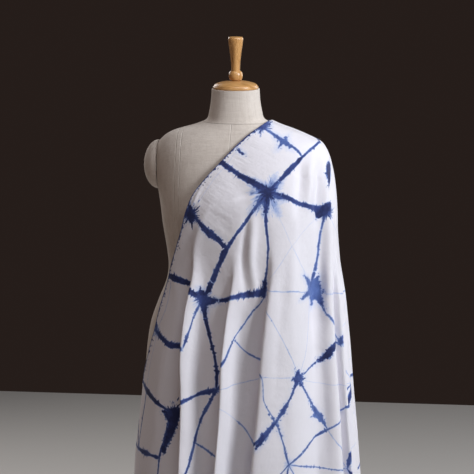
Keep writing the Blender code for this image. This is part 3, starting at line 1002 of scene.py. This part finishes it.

# %% [markdown]
# The strongest marks
#
# Where a star was bound in many layers, dye ran in as a blot with broad arms. Each
# mark is a tapered stroke between two places of the picture. Its half width, less the
# distance to it, goes to the shader as one smooth value, and the shader frays its edge.

# %% Marks placed one by one
MARKS = (
    # from across, from up, to across, to up, half width at the start, at the end, strength
    (0.067, 0.097, 0.036, 0.120, 0.0115, 0.0055, 0.70),
    (0.068, 0.097, 0.092, 0.120, 0.0105, 0.0050, 0.66),
    (0.068, 0.097, 0.100, 0.087, 0.0105, 0.0030, 0.68),
    (0.066, 0.090, 0.064, 0.056, 0.0110, 0.0035, 0.82),
    (0.064, 0.092, 0.034, 0.056, 0.0110, 0.0020, 0.70),
    (0.074, 0.090, 0.091, 0.052, 0.0080, 0.0010, 0.30),
    (0.076, 0.100, 0.082, 0.128, 0.0070, 0.0010, 0.22),
    (0.197, 0.062, 0.190, 0.054, 0.0120, 0.0120, 0.97),
    (0.160, 0.064, 0.185, 0.060, 0.0050, 0.0080, 0.85),
    (-0.103, 0.064, -0.101, 0.044, 0.0060, 0.0100, 1.00),
    (-0.078, 0.020, -0.060, 0.008, 0.0035, 0.0078, 0.90),
    (-0.060, 0.008, -0.040, -0.006, 0.0078, 0.0045, 0.90),
    (0.052, 0.246, 0.066, 0.246, 0.0070, 0.0040, 0.80),
    (0.084, 0.222, 0.104, 0.210, 0.0020, 0.0062, 0.66),
    (0.104, 0.212, 0.089, 0.195, 0.0050, 0.0015, 0.60),
    (0.104, 0.210, 0.118, 0.196, 0.0062, 0.0020, 0.66),
    (0.003, 0.189, 0.013, 0.185, 0.0028, 0.0018, 0.80),
    (0.203, 0.150, 0.200, 0.124, 0.0120, 0.0085, 0.86),
    (-0.076, -0.130, -0.072, -0.160, 0.0120, 0.0070, 0.90),
    (-0.072, -0.140, -0.045, -0.139, 0.0100, 0.0050, 0.92),
    (0.169, -0.116, 0.147, -0.084, 0.0125, 0.0022, 0.54),
    (0.169, -0.116, 0.181, -0.090, 0.0125, 0.0032, 0.54),
    (0.169, -0.116, 0.191, -0.156, 0.0125, 0.0022, 0.58),
    (0.169, -0.116, 0.145, -0.135, 0.0115, 0.0026, 0.56),
    (0.169, -0.116, 0.196, -0.119, 0.0090, 0.0015, 0.52),
    (0.169, -0.116, 0.165, -0.150, 0.0095, 0.0015, 0.48),
    (-0.158, -0.388, -0.142, -0.402, 0.0050, 0.0110, 1.00),
    (-0.139, -0.394, -0.144, -0.424, 0.0120, 0.0085, 1.00),
    (-0.144, -0.424, -0.163, -0.472, 0.0085, 0.0045, 1.00),
    (0.137, -0.310, 0.137, -0.288, 0.0060, 0.0004, 0.84),
    (0.137, -0.310, 0.122, -0.311, 0.0060, 0.0004, 0.84),
    (0.137, -0.310, 0.151, -0.311, 0.0060, 0.0004, 0.84),
    (0.137, -0.310, 0.124, -0.337, 0.0070, 0.0020, 0.84),
    (0.137, -0.310, 0.145, -0.334, 0.0060, 0.0004, 0.84),
    (0.137, -0.310, 0.127, -0.293, 0.0055, 0.0004, 0.84),
    (0.137, -0.310, 0.147, -0.295, 0.0055, 0.0004, 0.84),
    (0.173, -0.280, 0.200, -0.255, 0.0020, 0.0082, 0.92),
    (0.200, -0.255, 0.218, -0.240, 0.0082, 0.0060, 0.86),
    (0.229, -0.230, 0.238, -0.218, 0.0065, 0.0020, 0.56),
    (0.156, -0.346, 0.180, -0.390, 0.0010, 0.0070, 0.56),
    (0.180, -0.390, 0.194, -0.418, 0.0070, 0.0020, 0.56),
    (0.178, -0.390, 0.165, -0.396, 0.0040, 0.0005, 0.50),
    (0.110, -0.364, 0.102, -0.382, 0.0015, 0.0058, 0.66),
    (0.102, -0.382, 0.090, -0.398, 0.0058, 0.0025, 0.66),
    (0.080, -0.412, 0.058, -0.446, 0.0035, 0.0075, 0.80),
    (0.058, -0.446, 0.041, -0.466, 0.0075, 0.0020, 0.84),
    (0.074, -0.392, 0.084, -0.408, 0.0012, 0.0045, 0.60),
    (0.084, -0.408, 0.100, -0.440, 0.0040, 0.0015, 0.56),
    (0.061, -0.104, 0.060, -0.130, 0.0048, 0.0040, 0.92),
)
MARK_FAR = 0.05
MARK_TAPER = 0.55
MARK_BLUNT = 0.3

mark_reach = np.full(depth.shape, -MARK_FAR)
mark_strength = np.zeros(depth.shape)
for across, up, to_across, to_up, from_width, to_width, strength in MARKS:
    beyond, off_way, share = stroke(across, up, to_across, to_up)
    beyond *= MARK_TAPER
    reach = from_width + (to_width - from_width) * share
    reach -= np.hypot(off_way, beyond) + beyond * MARK_BLUNT
    stronger = reach > mark_reach
    mark_reach = np.maximum(mark_reach, reach)
    mark_strength = np.where(stronger, strength, mark_strength)
print("marks", len(MARKS))

# %% [markdown]
# The sheet becomes a mesh
#
# A grid operator makes the quads, and the finished points are handed to it. The front
# is finer, so each step of the back's top row is split in two, and the two rows of
# points on the shoulder line then meet and are welded. The net goes into a UV map
# and the strengths into attributes, which the dye shader reads.

# %% Build the cloth
CLOTH_THICKNESS = 0.0010
SHEET_INSIDE = 0.0004
WELD = 0.00002
RIDGE_SOFTENING_PASSES = 6
RIDGE_SOFT_REACH = 0.012

normals = surface_normals(sheet)
sheet = sheet + normals * SHEET_INSIDE
shoulder_line = (sheet[0, behind] + sheet[0, in_front]) / 2.0
sheet[0, behind] = shoulder_line
sheet[0, in_front] = shoulder_line
between = np.arange(1, front_part, 2)
sheet[0, between] = (sheet[0, between - 1] + sheet[0, between + 1]) / 2.0
cloth_bm = bmesh.new()
bmesh.ops.create_grid(cloth_bm, x_segments=last_fine, y_segments=FINE_ROWS, size=0.5)
net_layer = cloth_bm.loops.layers.uv.new("net")
line_layer = cloth_bm.verts.layers.float_color.new("line_strength")
star_layer = cloth_bm.verts.layers.float_color.new("star_strength")
edge_layer = cloth_bm.verts.layers.float_color.new("edge_distance")
for vert in cloth_bm.verts:
    i = round((vert.co.x + 0.5) * last_fine)
    row = round((0.5 - vert.co.y) * FINE_ROWS)
    vert[line_layer] = strengths[row, i]
    vert[star_layer] = (*stars[row, i], mark_strength[row, i], mark_reach[row, i])
    vert[edge_layer] = (
        from_front_selvage[row, i], from_back_selvage[row, i], from_hem[row, i], fallen[row, i],
    )
    for loop in vert.link_loops:
        loop[net_layer].uv = net[row, i]
    vert.co = sheet[row, i]
back_starts = along[0, front_part] - WELD
top_edges = [
    edge for edge in cloth_bm.edges
    if all(v[edge_layer][3] == 0.0 and v[edge_layer][0] >= back_starts for v in edge.verts)
]
bmesh.ops.subdivide_edges(cloth_bm, edges=top_edges, cuts=1)
bmesh.ops.remove_doubles(cloth_bm, verts=cloth_bm.verts, dist=WELD)
open_sides = sum(edge.is_boundary for edge in cloth_bm.edges)
for _ in range(RIDGE_SOFTENING_PASSES):
    near_ridge = [
        vert for vert in cloth_bm.verts
        if vert[edge_layer][3] < RIDGE_SOFT_REACH and not vert.is_boundary
    ]
    bmesh.ops.smooth_vert(
        cloth_bm, verts=near_ridge, factor=0.5, use_axis_x=True, use_axis_y=True, use_axis_z=True
    )
bmesh.ops.recalc_face_normals(cloth_bm, faces=cloth_bm.faces)
outward = 0.0
for face in cloth_bm.faces:
    middle = face.calc_center_median()
    outward += face.normal.x * (middle.x - CLOTH_MIDDLE_X) + face.normal.y * middle.y
if outward < 0.0:
    bmesh.ops.reverse_faces(cloth_bm, faces=cloth_bm.faces)
cloth_area = sum(face.calc_area() for face in cloth_bm.faces)
cloth = new_piece("dyed_cloth", cloth_bm)
wall = cloth.modifiers.new("thickness", "SOLIDIFY")
wall.thickness = CLOTH_THICKNESS
wall.offset = 1.0
print("cloth faces", len(cloth.data.polygons), "area", round(cloth_area, 3), "m2")
print("open sides", open_sides)

# %% [markdown]
# Indigo and cotton
#
# The dye shader measures the distance to the nearest line of each of the four
# families, widens it by its strength and by noise that is stretched across the line,
# which gives the feathered teeth of a bound fold, and takes the darkest. Thin dye is
# light blue, and strong dye is nearly black.

# %% Dye shader
COTTON = (0.80, 0.785, 0.84)
DYE_STOPS = (
    (0.0, COTTON),
    (0.10, (0.62, 0.67, 0.84)),
    (0.26, (0.34, 0.44, 0.73)),
    (0.48, (0.11, 0.18, 0.45)),
    (0.75, (0.036, 0.060, 0.22)),
    (1.0, (0.015, 0.023, 0.095)),
)
LINE_THIN = 0.0005
LINE_WIDE = 0.0125
TEETH_LONG = 0.019
TEETH_STRETCH = 0.14
EDGE_SOFT = 0.0026
WANDER = 0.075
TREMBLE = 0.028
CRACK_FROM_STAR = 0.045
CRACK_WANDER = 0.012
HEM_FOLD = 0.014
THREAD_WAVES = 7000.0
DIAGONAL_PITCH = NET_PITCH * math.sqrt(2.0)


def frayed(on, signed, seed, fineness):
    """Teeth of dye from 0 to 1, long across a line and narrow along it, in clusters."""
    across = signed * TEETH_STRETCH
    teeth = noise_of(vector_of(on, across, seed), fineness, 3.0, 0.6)
    clusters = noise_of(vector_of(on, across, seed + 5.0), 45.0, 1.0)
    return peaks_of(teeth, 2.6, 0.95, 2.0) * clusters.scaled(3.2, -1.15, clamp=True)


def dyed_line(signed, on, strength, family):
    """Dye from 0 to 1 near one family of lines, signed and on in metres."""
    seed = family * 3.7
    beside = signed * 0.3
    long_swell = noise_of(vector_of(on, beside, seed), 16.0, 0.0)
    swell = noise_of(vector_of(on, beside, seed + 2.0), 60.0, 2.0)
    width = (strength * strength).scaled(LINE_WIDE, LINE_THIN)
    width = width * long_swell.scaled(1.2, 0.32) * swell.scaled(1.0, 0.55)
    tooth = frayed(on, signed, seed + 1.0, 230.0) * (strength * TEETH_LONG)
    inside = width.at_least(LINE_THIN) + tooth - abs(signed)
    dye = step_up(inside, -EDGE_SOFT * 0.4, EDGE_SOFT)
    return dye * strength.scaled(1.25, 0.08, clamp=True) * step_up(strength, 0.02, 0.07)


cotton_finish, graph, shader = new_finish("dyed_cotton_finish")
place = object_place(graph)
net_x, net_y, _ = parts_of(node_value(graph, "ShaderNodeUVMap", "UV", {}, uv_map="net"))
wander_x, wander_y, _ = parts_of(noise_of(place, 11.0, 1.0, output="Color"))
tremble_x, tremble_y, _ = parts_of(noise_of(place, 75.0, 2.0, output="Color"))
step_along, step_away = (
    (quick - 0.5).scaled(TREMBLE, (slow - 0.5).scaled(WANDER, base))
    for base, slow, quick in ((net_x, wander_x, tremble_x), (net_y, wander_y, tremble_y))
)
half_total = (step_along + step_away) * 0.5
half_apart = (step_along - step_away) * 0.5
line_strengths = attribute_of(graph, "line_strength")
FAMILIES = (
    (step_away, step_along, NET_PITCH),
    (step_along, step_away, NET_PITCH),
    (half_apart, half_total, DIAGONAL_PITCH),
    (half_total, half_apart, DIAGONAL_PITCH),
)
dye = None
for family, (crossing, running, pitch) in enumerate(FAMILIES):
    nearest = round(crossing)
    signed = (crossing - nearest) * pitch
    on = nearest.scaled(1.7, running * pitch)
    one = dyed_line(signed, on, line_strengths[family], family)
    dye = one if dye is None else dye.at_least(one)

# Stars, with a paler halo, and a fine undyed crack across the lines round some of them
star_value, blue_value, mark_value, inside_mark = attribute_of(graph, "star_strength")
from_star_x = half_total - round(half_total)
from_star_y = half_apart - round(half_apart)
star_away = from_star_x.scaled(from_star_x, from_star_y * from_star_y).maths("SQRT")
star_metres = star_away * DIAGONAL_PITCH
safe_away = star_away + 0.0001
ray_place = vector_of(from_star_x / safe_away, from_star_y / safe_away, star_away * 1.5)
rays = peaks_of(noise_of(ray_place, 5.5, 2.0, 0.7), 2.4, 0.75, 1.5)
star_dye = step_up(star_value * rays.scaled(0.032, 0.012) - star_metres, -0.004, 0.005)
star_dye = star_dye * star_value.scaled(0.8, 0.2)
halo = step_up(blue_value * rays.scaled(0.035, 0.026) - star_metres, -0.012, 0.030) * 0.62
dye = dye.at_least(star_dye.at_least(halo))
crack_shift = noise_of(place, 60.0, 1.0)
crack_at = crack_shift.scaled(CRACK_WANDER, CRACK_FROM_STAR - CRACK_WANDER / 2.0)
crack = step_up(abs(star_metres - crack_at), 0.0004, 0.0016)
dye = dye * crack.at_least(step_up(wander_x, 0.44, 0.52)).scaled(0.7, 0.3)

# Marks placed one by one
mark_fray = peaks_of(noise_of(place, 190.0, 3.0, 0.65), 2.6, 0.95, 2.0)
mark_edge = (tremble_x - 0.5).scaled(0.006, mark_fray.scaled(0.009, inside_mark))
mark_dye = step_up(mark_edge, -0.0010, 0.0034) * mark_value
mark_halo = step_up(mark_edge, -0.0110, 0.0030) * 0.20
dye = dye.at_least(mark_dye.at_least(mark_halo * blue_value))

# A dark frayed line on each selvage
front_edge, back_edge, hem_edge, _ = attribute_of(graph, "edge_distance")
selvage = front_edge.maths("MINIMUM", back_edge)
edge_teeth = peaks_of(noise_of(place, 210.0, 3.0), 2.4, 0.9, 3.0)
edge_reach = edge_teeth.scaled(0.022, noise_of(place, 9.0, 1.0).scaled(0.0022, 0.0010))
dye = dye.at_least(step_up(edge_reach - selvage, -0.0006, 0.0014) * 0.85)

# Uneven dye, the cotton's tone and the hem's stitches
dye = dye * noise_of(place, 260.0, 4.0, 0.65).scaled(0.5, 0.75)
dye = dye.maths("MULTIPLY", noise_of(place, 32.0, 2.0).scaled(0.9, 0.55), clamp=True)
colour = ramp_of(dye, DYE_STOPS)
colour = mixed(noise_of(place, 5.0, 3.0) * 0.10, colour, (0.70, 0.68, 0.72), "MULTIPLY")
hem_mark = step_up(abs(hem_edge - HEM_FOLD), 0.0016, 0.0004) * noise_of(place, 160.0, 0.0)
colour = mixed(hem_mark * 0.5, colour, (0.45, 0.44, 0.50))

# Fine relief, from the widest to the finest: crumples, drag lines, pressing and weave
thread_place = vector_of(net_x * NET_PITCH, net_y * NET_PITCH, 0.0)
thread_x, thread_y, _ = parts_of(thread_place)
weave = (thread_x * THREAD_WAVES).maths("SINE") * (thread_y * THREAD_WAVES).maths("SINE")
drag = noise_of(vector_of(step_along, step_away * 0.13, 0.0), 13.0, 2.0, 0.55)
drag = drag * (step_up(selvage, 0.14, 0.03) * step_up(parts_of(place)[2], 1.13, 1.18))
normal = bump_of(noise_of(place, 26.0, 3.0, 0.55), 0.0020)
normal = bump_of(drag, 0.0010, normal)
normal = bump_of(noise_of(thread_place, 120.0, 3.0), 0.0003, normal)
normal = bump_of(weave, 0.00005, normal)
connect(shader, {
    "Base Color": colour, "Normal": normal, "Roughness": 0.82, "Specular IOR Level": 0.28,
    "Sheen Weight": 0.12, "Sheen Roughness": 0.5,
})
cloth.data.materials.append(cotton_finish)
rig.ride(cloth, "root")
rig.replaces(cloth, "cloth")
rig.slot(cloth, "dyed_cotton")
print("dye families", len(FAMILIES), "stars", len(STARS))

# %% [markdown]
# The linen skin of the form
#
# A dress form is a shell covered in linen panels that are sewn edge to edge and
# pulled tight. The skin here is one smooth surface through the same sections, cut
# flat at each armhole. The seams are drawn by its finish.

# %% Form skin
FORM_COLUMNS = 176
FORM_ROWS_BETWEEN = 6
COVER_SHARP = 40.0
ARMHOLE_X = 0.170
ARMHOLE_FROM = 1.150
BUST_HEIGHT = 1.215
BUST_X = 0.072
BUST_SPREAD = 0.042
BUST_PROUD = 0.008


def form_section(up):
    """Height, half width, front and back depth at a share of the table's rows."""
    row = up * (len(FORM_SECTIONS) - 1)
    base = min(int(row), len(FORM_SECTIONS) - 2)
    around = [FORM_SECTIONS[min(max(base + k, 0), len(FORM_SECTIONS) - 1)] for k in (-1, 0, 1, 2)]
    weights = curve_weights(row - base)
    return [sum(w * line[i] for w, line in zip(weights, around)) for i in range(4)]


def form_point(around, up):
    height, half_width, front, back = form_section(up)
    angle = 2.0 * math.pi * around
    face = rounded(math.cos(angle))
    x = half_width * rounded(math.sin(angle))
    y = -front * face if face > 0.0 else -back * face
    if face > 0.0:
        lift = (height - BUST_HEIGHT) / BUST_SPREAD
        for centre in (-BUST_X, BUST_X):
            reach = (x - centre) / BUST_SPREAD
            y -= BUST_PROUD * math.exp(-reach * reach - lift * lift)
    return x, y, height


form_rows = (len(FORM_SECTIONS) - 1) * FORM_ROWS_BETWEEN
form_bm = placed_grid(FORM_COLUMNS, form_rows, form_point)
bmesh.ops.remove_doubles(form_bm, verts=form_bm.verts, dist=WELD)
open_edges = [edge for edge in form_bm.edges if edge.is_boundary]
bmesh.ops.holes_fill(form_bm, edges=open_edges, sides=0)
for side in (-1.0, 1.0):
    high_faces = [face for face in form_bm.faces if face.calc_center_median().z > ARMHOLE_FROM]
    high_edges = {edge for face in high_faces for edge in face.edges}
    high_verts = {vert for face in high_faces for vert in face.verts}
    cut = bmesh.ops.bisect_plane(
        form_bm,
        geom=high_faces + list(high_edges) + list(high_verts),
        dist=WELD,
        plane_co=(side * ARMHOLE_X, 0.0, 0.0),
        plane_no=(side, 0.0, 0.0),
        clear_outer=True,
    )
    rim = [item for item in cut["geom_cut"] if isinstance(item, bmesh.types.BMEdge)]
    bmesh.ops.holes_fill(form_bm, edges=rim, sides=0)
bmesh.ops.recalc_face_normals(form_bm, faces=form_bm.faces)
form = new_piece("linen_form", form_bm, sharp=COVER_SHARP)
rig.ride(form, "root")
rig.replaces(form, "form_body")
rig.slot(form, "linen")
print("form faces", len(form.data.polygons))

# %% [markdown]
# Arm caps
#
# A rounded plate covered in the same linen closes each armhole. The right one shows,
# and the left one lies under the cloth.

# %% Arm caps
CAP_CENTRE_HEIGHT = 1.310
CAP_HALF_HEIGHT = 0.054
CAP_HALF_DEPTH = 0.046
CAP_BULGE = 0.033
SEAT_GAP = 0.0003
CAP_SEGMENTS = 72
CAP_RINGS = 20


def build_cap(name, node, side):
    def place_on(around, out):
        angle = 2.0 * math.pi * around
        turn = out * math.pi / 2.0
        y = CAP_HALF_DEPTH * math.cos(turn) * math.cos(angle)
        z = CAP_CENTRE_HEIGHT + CAP_HALF_HEIGHT * math.cos(turn) * math.sin(angle)
        return side * (ARMHOLE_X + SEAT_GAP + CAP_BULGE * math.sin(turn)), y, z

    bm = placed_grid(CAP_SEGMENTS, CAP_RINGS, place_on)
    bmesh.ops.remove_doubles(bm, verts=bm.verts, dist=WELD)
    bmesh.ops.holes_fill(bm, edges=[edge for edge in bm.edges if edge.is_boundary], sides=0)
    bmesh.ops.recalc_face_normals(bm, faces=bm.faces)
    cap = new_piece(name, bm, sharp=COVER_SHARP)
    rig.ride(cap, "root")
    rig.replaces(cap, node)
    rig.slot(cap, "linen")
    return cap


caps = [
    build_cap("linen_cap_right", "arm_cap_right", -1.0),
    build_cap("linen_cap_left", "arm_cap_left", 1.0),
]
print("caps", [cap.name for cap in caps])

# %% [markdown]
# Linen
#
# Linen threads are uneven, so the weave shows as short thick and thin streaks both
# ways. Seams are narrow grooves with painted shade in them and a painted highlight
# on both sides, where the raised seam edges catch the light: one down the middle of
# the front and back, and a doubled one down each breast. One more groove, with
# painted shade, runs round the neck.

# %% Linen finish
LINEN_LIGHT = (0.72, 0.665, 0.615)
LINEN_DARK = (0.57, 0.51, 0.46)
PRINCESS_X = 0.1155
PRINCESS_APART = 0.0055
NECK_SEAM_HEIGHT = 1.4075
SEAM_HALF = 0.0011
SEAM_DEEPEST = 0.0003

linen_finish, graph, shader = new_finish("linen_finish")
place = object_place(graph)
x, y, z = parts_of(place)
streaks = noise_of(vector_of(x * 0.06, y, z), 520.0, 3.0)
streaks = (streaks + noise_of(vector_of(x, y, z * 0.05), 480.0, 3.0)) * 0.5
slubs = noise_of(vector_of(x * 0.10, y, z), 150.0, 2.0)
slubs = (slubs + noise_of(vector_of(x, y, z * 0.08), 140.0, 2.0)) * 0.5
weave = slubs.scaled(0.5, streaks * 0.5)
colour = ramp_of(weave, ((0.30, LINEN_DARK), (0.66, LINEN_LIGHT)))
middle_seam = abs(x)
princess_seam = abs(abs(middle_seam - PRINCESS_X) - PRINCESS_APART)
upright_seam = middle_seam.maths("MINIMUM", princess_seam)
neck_seam = abs(z - NECK_SEAM_HEIGHT)
below_neck = step_up(z, NECK_SEAM_HEIGHT + 0.0002, NECK_SEAM_HEIGHT - 0.0002)
grooves = step_up(upright_seam, SEAM_HALF, SEAM_DEEPEST) * below_neck
grooves = grooves.at_least(step_up(neck_seam, SEAM_HALF, SEAM_DEEPEST))
# Painted highlight: a paler strip on both sides of each upright seam, where the raised seam edges catch the light.
seam_painted_highlight = step_up(upright_seam, 0.0030, 0.0012) * below_neck
colour = mixed(seam_painted_highlight * 0.36, colour, (0.90, 0.85, 0.79))
# Painted shade: the seam and neck grooves are also darkened in colour, as shade in them, besides their bump below.
colour = mixed(grooves * 0.15, colour, (0.24, 0.19, 0.15))
colour = mixed(noise_of(place, 9.0, 3.0) * 0.30, colour, (0.72, 0.66, 0.58), "MULTIPLY")
normal = bump_of(weave, 0.0012)
normal = bump_of(grooves.scaled(-1.0, 1.0), 0.0010, normal)
connect(shader, {
    "Base Color": colour, "Normal": normal, "Roughness": 0.88, "Specular IOR Level": 0.25,
    "Sheen Weight": 0.10,
})
form.data.materials.append(linen_finish)
for cap in caps:
    cap.data.materials.append(linen_finish)
print("linen seams at", PRINCESS_X, "and", NECK_SEAM_HEIGHT)

# %% [markdown]
# Turned wood
#
# The neck is closed by a low domed cap, and a handle with a small ball collar stands
# on it. Both were turned on a lathe, so each is a profile spun round the middle line.
# A fine step at the rim catches the light.


# %% Neck cap and handle
FORM_TOP = 1.479
NECK_CAP_RADIUS = 0.0497
NECK_CAP_RIM = 0.0055
NECK_CAP_CROWN = 0.0175
NECK_CAP_EDGE = 0.0015
COLLAR_RADIUS = 0.0155
COLLAR_HEIGHT = 0.021
HANDLE_FOOT_RADIUS = 0.0097
HANDLE_TOP_RADIUS = 0.0167
HANDLE_HEIGHT = 0.075
HANDLE_CROWN = 0.004
TURNED_STEPS = 96
TURNED_SHARP = 35.0


def turned(name, profile):
    """A shape turned about the middle line from a profile that starts and ends on it."""
    bm = bmesh.new()
    verts = [bm.verts.new((radius, 0.0, height)) for radius, height in profile]
    edges = [bm.edges.new(pair) for pair in zip(verts, verts[1:])]
    bmesh.ops.spin(
        bm, geom=verts + edges, cent=(0.0, 0.0, 0.0), axis=(0.0, 0.0, 1.0),
        angle=2.0 * math.pi, steps=TURNED_STEPS, use_merge=True,
    )
    bmesh.ops.remove_doubles(bm, verts=bm.verts, dist=WELD)
    bmesh.ops.recalc_face_normals(bm, faces=bm.faces)
    piece = new_piece(name, bm, sharp=TURNED_SHARP)
    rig.ride(piece, "root")
    return piece


def quarter_round(start, end, steps, bulge_out):
    """Points of a quarter ellipse between two ends, the start left out."""
    points = []
    for step in range(1, steps + 1):
        turn = math.pi / 2.0 * step / steps
        first, second = math.sin(turn), 1.0 - math.cos(turn)
        shares = (second, first) if bulge_out else (first, second)
        points.append(tuple(a + (b - a) * share for a, b, share in zip(start, end, shares)))
    return points


cap_foot = FORM_TOP + SEAT_GAP
cap_rim_top = cap_foot + NECK_CAP_RIM
cap_top = cap_foot + NECK_CAP_CROWN
profile = [(0.0, cap_foot), (NECK_CAP_RADIUS - NECK_CAP_EDGE, cap_foot)]
profile += quarter_round(profile[-1], (NECK_CAP_RADIUS, cap_foot + NECK_CAP_EDGE), 3, False)
profile.append((NECK_CAP_RADIUS, cap_rim_top - NECK_CAP_EDGE))
profile += quarter_round(profile[-1], (NECK_CAP_RADIUS - 0.001, cap_rim_top), 3, True)
profile.append((NECK_CAP_RADIUS - 0.0018, cap_rim_top))
profile += quarter_round(profile[-1], (0.0, cap_top), 22, True)
neck_cap = turned("wood_neck_cap", profile)
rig.replaces(neck_cap, "neck_cap")

collar_foot = cap_top + SEAT_GAP
collar_middle = collar_foot + COLLAR_HEIGHT / 2.0
collar_top = collar_foot + COLLAR_HEIGHT
handle_top = collar_top + HANDLE_HEIGHT
HANDLE_PROFILE = (
    # share of the height, radius
    (0.04, 0.0096), (0.15, 0.0099), (0.30, 0.0106), (0.45, 0.0119),
    (0.60, 0.0134), (0.75, 0.0149), (0.86, 0.0160), (0.93, 0.0166),
)
profile = [(0.0, collar_foot), (HANDLE_FOOT_RADIUS, collar_foot)]
profile += quarter_round(profile[-1], (COLLAR_RADIUS, collar_middle), 8, False)
profile += quarter_round(profile[-1], (HANDLE_FOOT_RADIUS, collar_top), 8, True)
for share, radius in HANDLE_PROFILE:
    profile.append((radius, collar_top + HANDLE_HEIGHT * share))
profile += quarter_round(profile[-1], (HANDLE_TOP_RADIUS - 0.0035, handle_top - 0.0006), 6, True)
profile.append((0.0, handle_top))
handle = turned("wood_handle", profile)
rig.replaces(handle, "finial")
print("handle", round(handle_top - collar_top, 3), "m high")

# %% [markdown]
# Wood finish
#
# The grain runs across the dome and up the handle. Stretched noise makes the grain
# lines, a slower one the growth bands, and a thin coat gives the varnish.


# %% Wood finish
def wood_finish(name, squeeze):
    """Varnished wood whose grain runs along the axis that is squeezed."""
    material, graph, shader = new_finish(name)
    x, y, z = parts_of(object_place(graph))
    stretched = vector_of(x * squeeze[0], y * squeeze[1], z * squeeze[2])
    bands = noise_of(stretched, 95.0, 3.0)
    grain = noise_of(stretched, 620.0, 4.0, 0.6)
    colour = ramp_of(bands.scaled(0.65, grain * 0.35), (
        (0.33, (0.34, 0.16, 0.045)),
        (0.50, (0.58, 0.31, 0.11)),
        (0.68, (0.70, 0.42, 0.18)),
    ))
    connect(shader, {
        "Base Color": colour, "Roughness": grain.scaled(0.20, 0.26),
        "Normal": bump_of(grain, 0.00025), "Coat Weight": 0.35, "Coat Roughness": 0.22,
    })
    return material


neck_cap.data.materials.append(wood_finish("wood_across", (0.10, 1.0, 1.0)))
handle.data.materials.append(wood_finish("wood_upright", (1.0, 1.0, 0.10)))
for piece in (neck_cap, handle):
    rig.slot(piece, "honey_wood")
print("wood finishes 2")

# %% [markdown]
# Stand
#
# The stand lies below the picture. It is a plain painted pole in a round weighted
# base. The paint is slightly uneven, and the base's edge is rounded.

# %% Stand
BASE_RADIUS = 0.190
BASE_THICKNESS = 0.020
BASE_EDGE = 0.004
POLE_RADIUS = 0.016
FORM_BOTTOM = 0.720

edge = BASE_RADIUS - BASE_EDGE
profile = [(0.0, 0.0), (edge, 0.0)]
profile += quarter_round(profile[-1], (BASE_RADIUS, BASE_EDGE), 5, False)
profile.append((BASE_RADIUS, BASE_THICKNESS - BASE_EDGE))
profile += quarter_round(profile[-1], (edge, BASE_THICKNESS), 5, True)
profile.append((0.0, BASE_THICKNESS))
base = turned("metal_base", profile)
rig.replaces(base, "stand_base")
pole_foot = BASE_THICKNESS + SEAT_GAP
pole_top = FORM_BOTTOM - SEAT_GAP
pole = turned("metal_pole", [
    (0.0, pole_foot), (POLE_RADIUS, pole_foot), (POLE_RADIUS, pole_top), (0.0, pole_top),
])
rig.replaces(pole, "stand_pole")

metal_finish, graph, shader = new_finish("painted_steel")
place = object_place(graph)
patches = noise_of(place, 12.0, 3.0)
connect(shader, {
    "Base Color": ramp_of(patches, ((0.3, (0.045, 0.042, 0.040)), (0.7, (0.070, 0.065, 0.060)))),
    "Roughness": patches.scaled(0.25, 0.30),
    "Normal": bump_of(noise_of(place, 420.0, 3.0), 0.00012),
    "Metallic": 0.5,
})
for piece in (base, pole):
    piece.data.materials.append(metal_finish)
    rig.slot(piece, "dark_metal")
print("stand", BASE_RADIUS * 2, "m wide")

# %% [markdown]
# Say what is cloth
#
# The cloth is a sheet that was draped over the form. Its mesh is a fan, narrow on the
# shoulder, so the area of the mesh is stated beside the size that it was cut to.

# %% Declare and finish
CUT_WIDTH = 1.15
CUT_LENGTH = 2.25

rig.sheet(
    cloth,
    flat=(CUT_WIDTH, CUT_LENGTH),
    held="draped",
    rests_on=["linen_form"],
    area=round(cloth_area, 2),
)
low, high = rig.bounds()
with open("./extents.json", "w") as size_file:
    json.dump({
        "solids": [list(solid_low), list(solid_high)],
        "visual": [list(low), list(high)],
    }, size_file)
print("visual from", [round(v, 3) for v in low], "to", [round(v, 3) for v in high])
